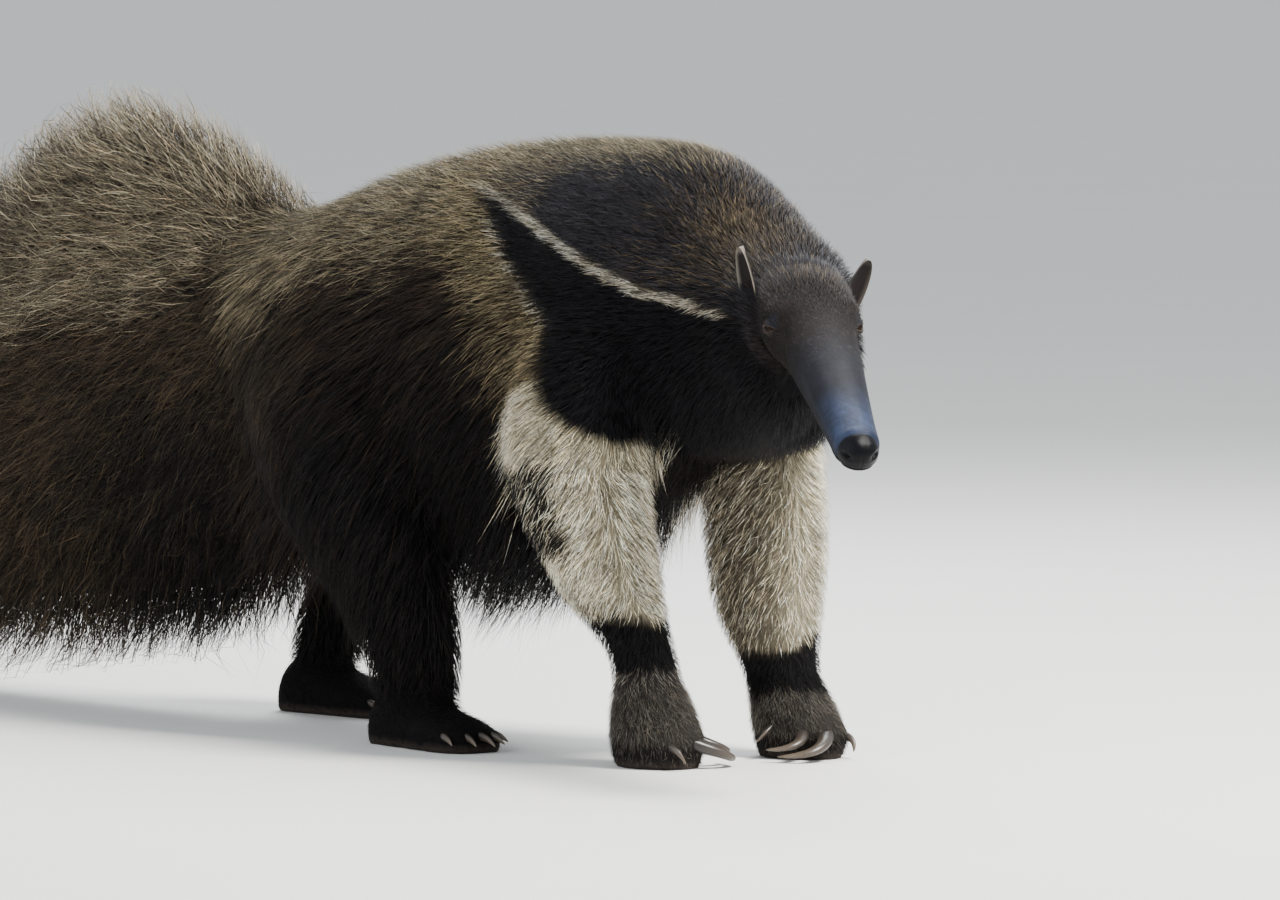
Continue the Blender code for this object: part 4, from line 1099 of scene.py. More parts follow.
def strand_mesh(name, paths, faces, half_width, tones, uv, thick=0.55):
    """Closed, tapered, three-sided strands as one mesh in the row frame."""
    count, stages = paths.shape[:2]
    steps = stages - 1
    ahead = np.empty_like(paths)
    ahead[:, 1:-1] = paths[:, 2:] - paths[:, :-2]
    ahead[:, 0] = paths[:, 1] - paths[:, 0]
    ahead[:, -1] = paths[:, -1] - paths[:, -2]
    ahead = unit(ahead)
    side = unit(np.cross(ahead, faces))
    top = np.cross(side, ahead)
    roll = RNG.uniform(-0.5, 0.5, count)[:, None, None]
    side, top = side * np.cos(roll) + top * np.sin(roll), top * np.cos(roll) - side * np.sin(roll)
    taper = np.array(TAPER[steps])
    verts = np.empty((count, steps * 3 + 1, 3))
    colour = np.empty((count, steps * 3 + 1, 4), np.float32)
    colour[..., 3] = 1.0
    for k in range(steps):
        w = (half_width * taper[k])[:, None]
        for i, angle in enumerate((90, 210, 330)):
            c, s = math.cos(math.radians(angle)), math.sin(math.radians(angle))
            verts[:, k * 3 + i] = paths[:, k] + side[:, k] * w * c + top[:, k] * w * (s * thick)
            colour[:, k * 3 + i, :3] = tones[:, k]
    verts[:, -1] = paths[:, -1]
    colour[:, -1, :3] = tones[:, -1]
    tris = [(0, 2, 1)]
    for k in range(steps - 1):
        for i in range(3):
            j = (i + 1) % 3
            lo, hi = k * 3, k * 3 + 3
            tris += [(lo + i, lo + j, hi + j), (lo + i, hi + j, hi + i)]
    last = (steps - 1) * 3
    tris += [(last + i, last + (i + 1) % 3, last + 3) for i in range(3)]
    tris = np.array(tris)
    v = verts[0]
    volume = sum(v[a] @ np.cross(v[b], v[c]) for a, b, c in tris - 0)
    if volume < 0:
        tris = tris[:, ::-1]
    per = steps * 3 + 1
    all_tris = (tris[None] + (np.arange(count) * per)[:, None, None]).reshape(-1, 3)
    corner = np.empty((per, 2))
    for k in range(steps):
        for i in range(3):
            corner[k * 3 + i] = ((i - 1) * 0.0013, (k / steps - 0.5) * 0.003)
    corner[-1] = (0.0, 0.0015)
    mesh = bpy.data.meshes.new(name)
    mesh.vertices.add(count * per)
    mesh.vertices.foreach_set("co", place(verts.reshape(-1, 3)).astype(np.float32).ravel())
    faces_n = len(all_tris)
    mesh.loops.add(faces_n * 3)
    mesh.loops.foreach_set("vertex_index", all_tris.astype(np.int32).ravel())
    mesh.polygons.add(faces_n)
    mesh.polygons.foreach_set("loop_start", np.arange(0, faces_n * 3, 3, dtype=np.int32))
    mesh.polygons.foreach_set("loop_total", np.full(faces_n, 3, np.int32))
    mesh.update(calc_edges=True)
    mesh.polygons.foreach_set("use_smooth", np.ones(faces_n, bool))
    layer = mesh.color_attributes.new("coat_tone", "FLOAT_COLOR", "POINT")
    layer.data.foreach_set("color", colour.reshape(-1))
    uv_layer = mesh.uv_layers.new(name="OFBake")
    strand = np.repeat(np.arange(count), len(tris) * 3)
    inner = np.tile(tris.ravel(), count)
    uv_layer.data.foreach_set("uv", (uv[strand] + corner[inner]).astype(np.float32).ravel())
    return mesh


# ------------------------------------------------------------------- materials
def node(tree, kind, place_at, **values):
    made = tree.nodes.new(kind)
    made.location = place_at
    for key, value in values.items():
        if key in made.inputs:
            made.inputs[key].default_value = value
        else:
            setattr(made, key, value)
    return made


def base_material(name, colour, rough, specular=0.5):
    mat = bpy.data.materials.new(name)
    mat.use_nodes = True
    shader = mat.node_tree.nodes["Principled BSDF"]
    shader.inputs["Base Color"].default_value = (*colour, 1.0)
    shader.inputs["Roughness"].default_value = rough
    shader.inputs["Specular IOR Level"].default_value = specular
    mat.diffuse_color = (*colour, 1.0)
    return mat, mat.node_tree, shader


def coat_material(name, rough, specular, low, high, scale):
    """Hair: its tone from the marking attribute, flecked and banded finely."""
    mat, tree, shader = base_material(name, (0.1, 0.09, 0.08), rough, specular)
    tone = node(tree, "ShaderNodeAttribute", (-900, 200), attribute_name="coat_tone")
    where = node(tree, "ShaderNodeTexCoord", (-1300, -100))
    fine = node(tree, "ShaderNodeTexNoise", (-1100, -100), Scale=scale, Detail=1.5)
    broad = node(tree, "ShaderNodeTexNoise", (-1100, -350), Scale=42.0, Detail=3.0)
    tree.links.new(where.outputs["Object"], fine.inputs["Vector"])
    tree.links.new(where.outputs["Object"], broad.inputs["Vector"])
    both = node(tree, "ShaderNodeMath", (-900, -150), operation="MULTIPLY_ADD")
    both.inputs[1].default_value = 1.6
    tree.links.new(fine.outputs["Fac"], both.inputs[0])
    tree.links.new(broad.outputs["Fac"], both.inputs[2])
    span = node(tree, "ShaderNodeMapRange", (-700, -150))
    span.inputs["From Min"].default_value = 0.95
    span.inputs["From Max"].default_value = 1.75
    span.inputs["To Min"].default_value = low
    span.inputs["To Max"].default_value = high
    tree.links.new(both.outputs[0], span.inputs["Value"])
    mix = node(tree, "ShaderNodeVectorMath", (-450, 150), operation="SCALE")
    tree.links.new(tone.outputs["Color"], mix.inputs[0])
    tree.links.new(span.outputs["Result"], mix.inputs["Scale"])
    tree.links.new(mix.outputs[0], shader.inputs["Base Color"])
    grain = node(tree, "ShaderNodeMapRange", (-450, -150))
    grain.inputs["To Min"].default_value = rough - 0.07
    grain.inputs["To Max"].default_value = rough + 0.09
    tree.links.new(fine.outputs["Fac"], grain.inputs["Value"])
    tree.links.new(grain.outputs["Result"], shader.inputs["Roughness"])
    return mat


def skin_material():
    """Skin with close, short hair along the head, pores on the bare muzzle."""
    mat, tree, shader = base_material("skin", (0.05, 0.05, 0.055), 0.6, 0.09)
    tone = node(tree, "ShaderNodeAttribute", (-900, 300), attribute_name="skin_tone")
    rough = node(tree, "ShaderNodeAttribute", (-900, 100), attribute_name="skin_rough")
    short = node(tree, "ShaderNodeAttribute", (-900, -700), attribute_name="short_hair")
    where = node(tree, "ShaderNodeTexCoord", (-1700, -200))
    turn = node(tree, "ShaderNodeMapping", (-1500, -200))
    turn.vector_type = "TEXTURE"
    turn.inputs["Rotation"].default_value = (0.0, math.radians(-HEAD_PITCH),
                                             math.radians(HEAD_YAW))
    turn.inputs["Scale"].default_value = (5.0, 1.0, 1.0)
    tree.links.new(where.outputs["Object"], turn.inputs["Vector"])
    hairs = node(tree, "ShaderNodeTexNoise", (-1200, -300), Scale=2300.0, Detail=2.0)
    tree.links.new(turn.outputs[0], hairs.inputs["Vector"])
    pores = node(tree, "ShaderNodeTexVoronoi", (-1200, -550), Scale=1500.0)
    tree.links.new(where.outputs["Object"], pores.inputs["Vector"])
    soft = node(tree, "ShaderNodeTexNoise", (-1200, -800), Scale=160.0, Detail=5.0)
    tree.links.new(where.outputs["Object"], soft.inputs["Vector"])
    pick = node(tree, "ShaderNodeMix", (-900, -400))
    tree.links.new(short.outputs["Fac"], pick.inputs["Factor"])
    tree.links.new(pores.outputs["Distance"], pick.inputs[2])
    tree.links.new(hairs.outputs["Fac"], pick.inputs[3])
    both = node(tree, "ShaderNodeMath", (-700, -400), operation="MULTIPLY_ADD")
    both.inputs[1].default_value = 0.55
    tree.links.new(pick.outputs[0], both.inputs[0])
    tree.links.new(soft.outputs["Fac"], both.inputs[2])
    bump = node(tree, "ShaderNodeBump", (-300, -300), Strength=0.42, Distance=0.0007)
    tree.links.new(both.outputs[0], bump.inputs["Height"])
    tree.links.new(bump.outputs[0], shader.inputs["Normal"])
    span = node(tree, "ShaderNodeMapRange", (-700, -100))
    span.inputs["From Min"].default_value = 0.3
    span.inputs["From Max"].default_value = 0.7
    span.inputs["To Min"].default_value = 0.68
    span.inputs["To Max"].default_value = 1.42
    tree.links.new(hairs.outputs["Fac"], span.inputs["Value"])
    mix = node(tree, "ShaderNodeVectorMath", (-450, 150), operation="SCALE")
    tree.links.new(tone.outputs["Color"], mix.inputs[0])
    tree.links.new(span.outputs["Result"], mix.inputs["Scale"])
    tree.links.new(mix.outputs[0], shader.inputs["Base Color"])
    tree.links.new(rough.outputs["Fac"], shader.inputs["Roughness"])
    return mat


def horn_material():
    mat, tree, shader = base_material("horn", (0.05, 0.04, 0.035), 0.36, 0.5)
    tone = node(tree, "ShaderNodeAttribute", (-900, 300), attribute_name="horn_tone")
    where = node(tree, "ShaderNodeTexCoord", (-1300, -100))
    streak = node(tree, "ShaderNodeTexNoise", (-1100, -100), Scale=320.0, Detail=6.0)
    tree.links.new(where.outputs["Object"], streak.inputs["Vector"])
    span = node(tree, "ShaderNodeMapRange", (-700, -100))
    span.inputs["To Min"].default_value = 0.6
    span.inputs["To Max"].default_value = 1.45
    tree.links.new(streak.outputs["Fac"], span.inputs["Value"])
    mix = node(tree, "ShaderNodeVectorMath", (-450, 150), operation="SCALE")
    tree.links.new(tone.outputs["Color"], mix.inputs[0])
    tree.links.new(span.outputs["Result"], mix.inputs["Scale"])
    tree.links.new(mix.outputs[0], shader.inputs["Base Color"])
    bump = node(tree, "ShaderNodeBump", (-300, -300), Strength=0.4, Distance=0.0004)
    tree.links.new(streak.outputs["Fac"], bump.inputs["Height"])
    tree.links.new(bump.outputs[0], shader.inputs["Normal"])
    return mat


def eye_material():
    mat, tree, shader = base_material("eye_wet", (0.010, 0.006, 0.005), 0.12, 0.07)
    tone = node(tree, "ShaderNodeAttribute", (-900, 300), attribute_name="eye_tone")
    where = node(tree, "ShaderNodeTexCoord", (-1300, -100))
    fleck = node(tree, "ShaderNodeTexNoise", (-1100, -100), Scale=1400.0, Detail=3.0)
    tree.links.new(where.outputs["Object"], fleck.inputs["Vector"])
    span = node(tree, "ShaderNodeMapRange", (-700, -100))
    span.inputs["To Min"].default_value = 0.6
    span.inputs["To Max"].default_value = 1.4
    tree.links.new(fleck.outputs["Fac"], span.inputs["Value"])
    mix = node(tree, "ShaderNodeVectorMath", (-450, 150), operation="SCALE")
    tree.links.new(tone.outputs["Color"], mix.inputs[0])
    tree.links.new(span.outputs["Result"], mix.inputs["Scale"])
    tree.links.new(mix.outputs[0], shader.inputs["Base Color"])
    return mat


def floor_material():
    mat, tree, shader = base_material("floor_pale", (0.72, 0.71, 0.69), 0.85, 0.2)
    where = node(tree, "ShaderNodeTexCoord", (-1100, 0))
    cloud = node(tree, "ShaderNodeTexNoise", (-900, 0), Scale=3.0, Detail=4.0)
    tree.links.new(where.outputs["Object"], cloud.inputs["Vector"])
    ramp = node(tree, "ShaderNodeMix", (-500, 0), data_type="RGBA")
    ramp.inputs[6].default_value = (0.70, 0.69, 0.67, 1)
    ramp.inputs[7].default_value = (0.74, 0.73, 0.71, 1)
    tree.links.new(cloud.outputs["Fac"], ramp.inputs[0])
    tree.links.new(ramp.outputs[2], shader.inputs["Base Color"])
    return mat


# ---------------------------------------------------------------- small pieces
def new_object(name, mesh, material, slot, *stands_for):
    mesh.name = name
    obj = bpy.data.objects.new(name, mesh)
    bpy.context.scene.collection.objects.link(obj)
    mesh.materials.clear()
    mesh.materials.append(material)
    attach(obj, "root")
    if stands_for:
        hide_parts(*stands_for)
    return obj


def loft_object(rings, tones, attribute):
    """A closed lofted mesh in the row frame, with a tone for each ring."""
    bm = bmesh.new()
    layer = bm.verts.layers.float_color.new(attribute)
    rows = []
    for points, tone in zip(rings, tones):
        row = []
        for p in points:
            vert = bm.verts.new(place(p))
            vert[layer] = (*tone, 1.0)
            row.append(vert)
        rows.append(row)
    count = len(rings[0])
    for low, high in zip(rows, rows[1:]):
        for i in range(count):
            j = (i + 1) % count
            bm.faces.new((low[i], low[j], high[j], high[i]))
    for row, tone in ((rows[0], tones[0]), (rows[-1], tones[-1])):
        middle = bm.verts.new(sum((v.co for v in row), Vector()) / count)
        middle[layer] = (*tone, 1.0)
        for i in range(count):
            bm.faces.new((row[i], row[(i + 1) % count], middle))
    bmesh.ops.recalc_face_normals(bm, faces=bm.faces)
    if bm.calc_volume(signed=True) < 0:
        bmesh.ops.reverse_faces(bm, faces=bm.faces)
    for face in bm.faces:
        face.smooth = True
    mesh = bpy.data.meshes.new("loft")
    bm.to_mesh(mesh)
    bm.free()
    return mesh


def make_claw(name, root, start, end, length, radius, material):
    steps, count = 18, 18
    points, ways = claw_path(root, start, end, length, steps)
    side = unit(np.cross(start, end))
    rings, tones = [], []
    dark, pale = srgb(30, 26, 25), srgb(96, 84, 70)
    for i in range(-2, steps + 1):
        t = max(i, 0) / steps
        point = points[max(i, 0)] + (start * (i * 0.14) if i < 0 else 0)
        up = unit(np.cross(side, ways[max(i, 0)]))
        size = radius * (1 - t) ** 0.75 + 0.06
        size *= 0.97 + (0.05 if i in (1, 2) else 0.0)
        angle = 2 * math.pi * np.arange(count) / count
        c, s = np.cos(angle), np.sin(angle)
        # a keeled back and a flatter, grooved underside
        reach = size * (1 - 0.10 * (s > 0.8) - 0.16 * np.exp(-((np.abs(c)) / 0.3) ** 2) * (s > 0))
        rings.append(point + np.outer(0.72 * size * c, side) + np.outer(reach * s, up))
        tones.append(dark * (1 - t ** 1.5) + pale * t ** 1.5)
    mesh = loft_object(rings, tones, "horn_tone")
    return new_object(name + "_horn", mesh, material, "claw_horn", name)


def make_eye(side, material):
    middle, face, along, up = eye_frame(side)
    rings, tones = [], []
    across = unit(np.cross(up, face))
    for i in range(1, 36):
        a = math.pi * i / 36
        out = math.cos(a)
        radius = 0.735
        bulge = 0.045 * math.exp(-(a / 0.62) ** 2)
        r = (radius + bulge)
        rings.append(middle + face * (r * out) + ring((0, 0, 0), across, up,
                     r * math.sin(a), r * math.sin(a), r * math.sin(a), count=40))
        pupil, iris, white = srgb(4, 3, 3), srgb(30, 18, 11), srgb(26, 18, 15)
        k = smooth(0.22, 0.30, a)
        tone = pupil * (1 - k) + iris * k
        k = smooth(0.66, 0.78, a)
        tones.append(tone * (1 - k) + white * k)
    mesh = loft_object(rings, tones, "eye_tone")
    return new_object("eyeball_" + side, mesh, material, "eye", "eye_" + side)


def ear_axes(side):
    sign = 1.0 if side == "L" else -1.0
    root = on_head(EAR_BACK, sign * EAR_SIDE, EAR_RISE)
    up = unit(UPWARD * 0.80 - FORWARD * 0.42 + LEFT * (sign * EAR_LEAN[side]))
    out = LEFT * (sign * EAR_OUT[side][0]) + FORWARD * EAR_OUT[side][1]
    out = unit(out - up * (out @ up))
    return root, up, out, np.cross(up, out)


def make_ear(side, material):
    root, up, out, across = ear_axes(side)
    rings, tones = [], []
    steps, count, tall = 34, 56, EAR_LENGTH[side]
    rim_tone, hollow_shade, back = srgb(104, 98, 90), srgb(20, 15, 15), srgb(32, 27, 26)
    # the far ear's rim is darker than the near one's: painted shade
    if side == "L":
        rim_tone = srgb(62, 56, 51)
    for i in range(steps + 1):
        t = 1 - (1 - i / steps) ** 1.6
        half = EAR_WIDTH[side] / 2 * math.sqrt(max(1 - (max(t - 0.40, 0) / 0.602) ** 2, 0.0006))
        half *= 0.72 + 0.28 * min(t / 0.35, 1.0)
        middle = root + up * (tall * (t * 1.12 - 0.12)) - out * (0.10 * t * t)
        angle = 2 * math.pi * np.arange(count) / count
        c, s = np.cos(angle), np.sin(angle)
        thick = (0.085 + 0.16 * (1 - t) ** 1.5 * (1 - c * c) + 0.05 * bump_at(np.abs(c), 0.93, 0.08))
        cup = 0.95 * (1 - 0.45 * t)
        bend = -cup * (1 - c * c) + cup * 0.45
        folds = 0.07 * (bump_at(c, 0.38, 0.10) + bump_at(c, -0.30, 0.10)) * (1 - t) * (s > 0)
        rings.append(middle + np.outer(half * c, across)
                     + np.outer(thick * s + bend + folds * s, out))
        k = smooth(0.70, 1.0, t)
        tones.append(back * (1 - k) + rim_tone * k)
    mesh = loft_object(rings, tones, "skin_tone")
    # the rim is pale; the hollow is darker, a painted shade
    layer = mesh.color_attributes["skin_tone"] if "skin_tone" in mesh.color_attributes \
        else mesh.attributes["skin_tone"]
    co = np.empty(len(mesh.vertices) * 3, np.float32)
    mesh.vertices.foreach_get("co", co)
    local = (co.reshape(-1, 3) - SHIFT) / CM - root
    h, w, d = local @ up / tall, local @ across, local @ out
    half = EAR_WIDTH[side] / 2 * np.sqrt(np.clip(1 - (np.clip(h - 0.33, 0, 1) / 0.68) ** 2, 0.02, 1))
    edge = smooth(0.70, 0.98, np.abs(w) / half) * 0.8 + smooth(0.86, 0.99, h)
    hollow = smooth(-0.05, 0.05, d + 0.95 * (1 - 0.45 * h) * (0.55 - (w / half) ** 2))
    tone = back[None] * (1 - hollow[:, None]) + hollow_shade[None] * hollow[:, None]
    edge = np.clip(edge, 0, 1)[:, None]
    tone = tone * (1 - edge) + rim_tone * edge
    colour = np.ones((len(tone), 4), np.float32)
    colour[:, :3] = tone * (0.9 + 0.2 * RNG.random((len(tone), 1)))
    layer.data.foreach_set("color", colour.ravel())
    for name, value in (("skin_rough", 0.62), ("short_hair", 1.0)):
        extra = mesh.attributes.new(name, "FLOAT", "POINT")
        extra.data.foreach_set("value", np.full(len(tone), value, np.float32))
    return new_object("ear_skin_" + side, mesh, material, "ear", "ear_" + side)


# -------------------------------------------------------------------- the coat
def root_angle(points, middle_z, middle_y=0.0):
    return np.arctan2(points[:, 1] - middle_y, points[:, 2] - middle_z) / (2 * math.pi) + 0.5


def unwrap(points, label):
    """Where each root lies on an unwrap of its part: along it, and round it."""
    x, y, z = points.T
    u, v = x / 100.0, root_angle(points, 42.0)
    tail = label == PART["tail"]
    core = np.interp(x, CREASE_X, (14, 24, 36, 40, 41, 42))
    v = np.where(tail, np.arctan2(y, (z - core) * 0.3) / (2 * math.pi) + 0.5, v)
    for name, rows in (("foreleg_R", FORELEG_R), ("foreleg_L", FORELEG_L),
                       ("hand_R", HAND_R), ("hand_L", HAND_L),
                       ("hindleg_R", HINDLEG_R), ("hindleg_L", HINDLEG_L),
                       ("foot_R", HINDLEG_R), ("foot_L", HINDLEG_L)):
        on = label == PART[name]
        cx, cy, long_, wide = leg_axis(rows, z)
        angle = np.arctan2(y - cy, x - cx) / (2 * math.pi) + 0.5
        u = np.where(on, z / 40.0 + (1.2 if name.endswith("L") else 0.0), u)
        v = np.where(on, angle, v)
    s, a, r = to_head(points)
    head = label == PART["head"]
    u = np.where(head, s / 36.0, u)
    v = np.where(head, np.arctan2(a, r) / (2 * math.pi) + 0.5, v)
    uv = np.stack([u, v], 1)
    low, top = uv.min(0), uv.max(0)
    return 0.01 + 0.98 * (uv - low) / np.maximum(top - low, 1e-6)


def hair_tones(paths, roots, label, light, rise=0.55, spot=0.62, vary=0.3):
    """Root-to-tip tones of each strand, from the markings where it lies."""
    count, stages = paths.shape[:2]
    at = paths[:, 0] * (1 - spot) + paths[:, -1] * spot
    if stages > 3:
        at = paths[:, int(round(spot * (stages - 1)))] * 0.7 + at * 0.3
    share = kinds_of(at, label)
    share = np.cumsum(share, 1)
    share /= share[:, -1:]
    kind = (RNG.random(count)[:, None] > share).sum(1)
    kind = np.clip(kind, 0, len(KINDS) - 1)
    base = TONES[kind]                                  # strand, stage, colour
    t = np.linspace(0, 1, stages)[None, :]
    grizzle = RNG.random((count, 1)) ** light
    grizzle = 0.35 * grizzle + 0.65 * smooth(0.32, 0.72, grizzle)
    low = smooth(0.0, 0.35, t)
    high = smooth(rise, rise + 0.35, t) * grizzle
    tones = (base[:, 0][:, None] * (1 - low[..., None]) + base[:, 1][:, None] * low[..., None])
    tones = tones * (1 - high[..., None]) + base[:, 2][:, None] * high[..., None]
    patchy = 1 + 0.16 * noise3(roots, 1.3, 41) + 0.12 * noise3(roots, 5.0, 43)
    tones = tones * (1 - vary + 2 * vary * RNG.random((count, 1, 1))) * patchy[:, None, None]
    warm = RNG.normal(0, 0.05, (count, 1))
    tones = tones * np.stack([1 + warm, np.ones_like(warm), 1 - warm], -1)
    return np.clip(tones, 0.0, 1.0)


def hold_in(paths):
    """Presses stray tips back towards the box of the whole animal."""
    low = (np.array(CAD_BOX[0]) - SHIFT) / CM - (0.8, 0.5, 0.0)
    high = (np.array(CAD_BOX[1]) - SHIFT) / CM + (0.8, 0.5, 0.8)
    paths = np.where(paths > high, high + (paths - high) * 0.3, paths)
    paths = np.where(paths < low, low + (paths - low) * 0.3, paths)
    paths[..., 2] = np.maximum(paths[..., 2], 0.10)
    return paths


class Coat:
    def __init__(self, co, tri, skin, outer):
        self.co, self.tri, self.skin, self.outer = co, tri, skin, outer
        self.middle = (co[tri[:, 0]] + co[tri[:, 1]] + co[tri[:, 2]]) / 3
        self.label = part_of(self.middle)
        a, b, c = co[tri[:, 0]], co[tri[:, 1]], co[tri[:, 2]]
        self.normal = unit(np.cross(b - a, c - a))
        self.total = 0

    def grow(self, name, parts, count, steps, flow, length, width, material, slot,
             stick=0.8, low=(0.45, 1.0), wander=0.10, per_clump=8, pull=0.4,
             light=1.5, where=None, rise=0.5, proud=0.3, split=1, spot=0.62,
             thick=0.6, loose=0.35, kink=0.05, vary=0.3, above=0.0, hang=0.0):
        weight = np.isin(self.label, [PART[p] for p in parts]).astype(float)
        for one in (where or ()):
            weight = weight * one(self.middle, self.normal)
        roots, normals = spread_roots(self.co, self.tri, weight, count)
        label = part_of(roots)
        long_ = length(roots, normals) * RNG.uniform(0.7, 1.2, count)
        shares = RNG.uniform(low[0], low[1], count)
        if hang:
            under = smooth(-0.25, -0.75, normals[:, 2])
            shares = shares * (1 + 0.8 * under)
            proud = proud + hang * under
        start = roots
        if above:
            depth = np.clip(-self.outer.at(roots)[0], 0, 9)
            start = roots + normals * (depth * above * RNG.uniform(0.7, 1.15, count))[:, None]
        paths, faces = march(start, normals, flow, long_, steps, stick, shares, wander,
                             self.skin, self.outer, proud, kink)
        if per_clump:
            paths, own = clump(paths, roots, per_clump, pull, loose)
        paths = hold_in(paths)
        tones = hair_tones(paths, roots, label, light, rise, spot, vary)
        half = width(roots) * RNG.uniform(0.75, 1.25, count)
        uv = unwrap(roots, label)
        order = np.argsort(roots[:, 0], kind="stable")
        for part, chosen in enumerate(np.array_split(order, split)):
            title = name if split == 1 else "%s_%d" % (name, part + 1)
            piece_uv = uv[chosen]
            low_uv, top_uv = piece_uv.min(0), piece_uv.max(0)
            piece_uv = 0.01 + 0.98 * (piece_uv - low_uv) / np.maximum(top_uv - low_uv, 1e-6)
            mesh = strand_mesh(title, paths[chosen], faces[chosen], half[chosen],
                               tones[chosen], piece_uv, thick)
            self.total += len(mesh.polygons)
            new_object(title, mesh, material, slot)


def trunk_length(p, n):
    x, y, z = p.T
    base = np.interp(z, (22, 30, 38, 47, 56, 61), (11.5, 11.5, 9.5, 6.4, 4.4, 3.6))
    front = smooth(-27, -14, x)
    base = base * (1 - front) + np.interp(z, (28, 33, 45, 57, 61), (3.6, 2.6, 2.1, 2.2, 2.8)) * front
    under = smooth(-0.35, -0.8, n[:, 2])
    base = base * (1 - under) + under * np.interp(x, (-60, -20, -8, 4), (12.5, 12.5, 8.5, 7.5))
    return base + 3.5 * smooth(-40, -60, x) * smooth(54, 40, z)


def by_head(p):
    """One on the head, falling to nothing on the throat and chest below it."""
    s, a, r = to_head(p)
    return smooth(10.5, 7.5, np.hypot(a, r))


def front_length(p, n):
    """Neck and head: shorter towards the muzzle."""
    s = to_head(p)[0]
    fore = np.interp(s, (-9, -6, -3, 0, 4, 12), (1.7, 1.35, 0.95, 0.65, 0.42, 0.26))
    neck = np.interp(p[:, 2], (34, 42, 49, 55), (2.8, 2.0, 2.0, 3.0))
    near = smooth(-13.0, -8.0, s) * by_head(p)
    return neck * (1 - near) + fore * near


def front_width(p):
    s = -12 + (to_head(p)[0] + 12) * by_head(p)
    return np.interp(s, (-12, -6, 0, 10), (0.036, 0.029, 0.021, 0.014))


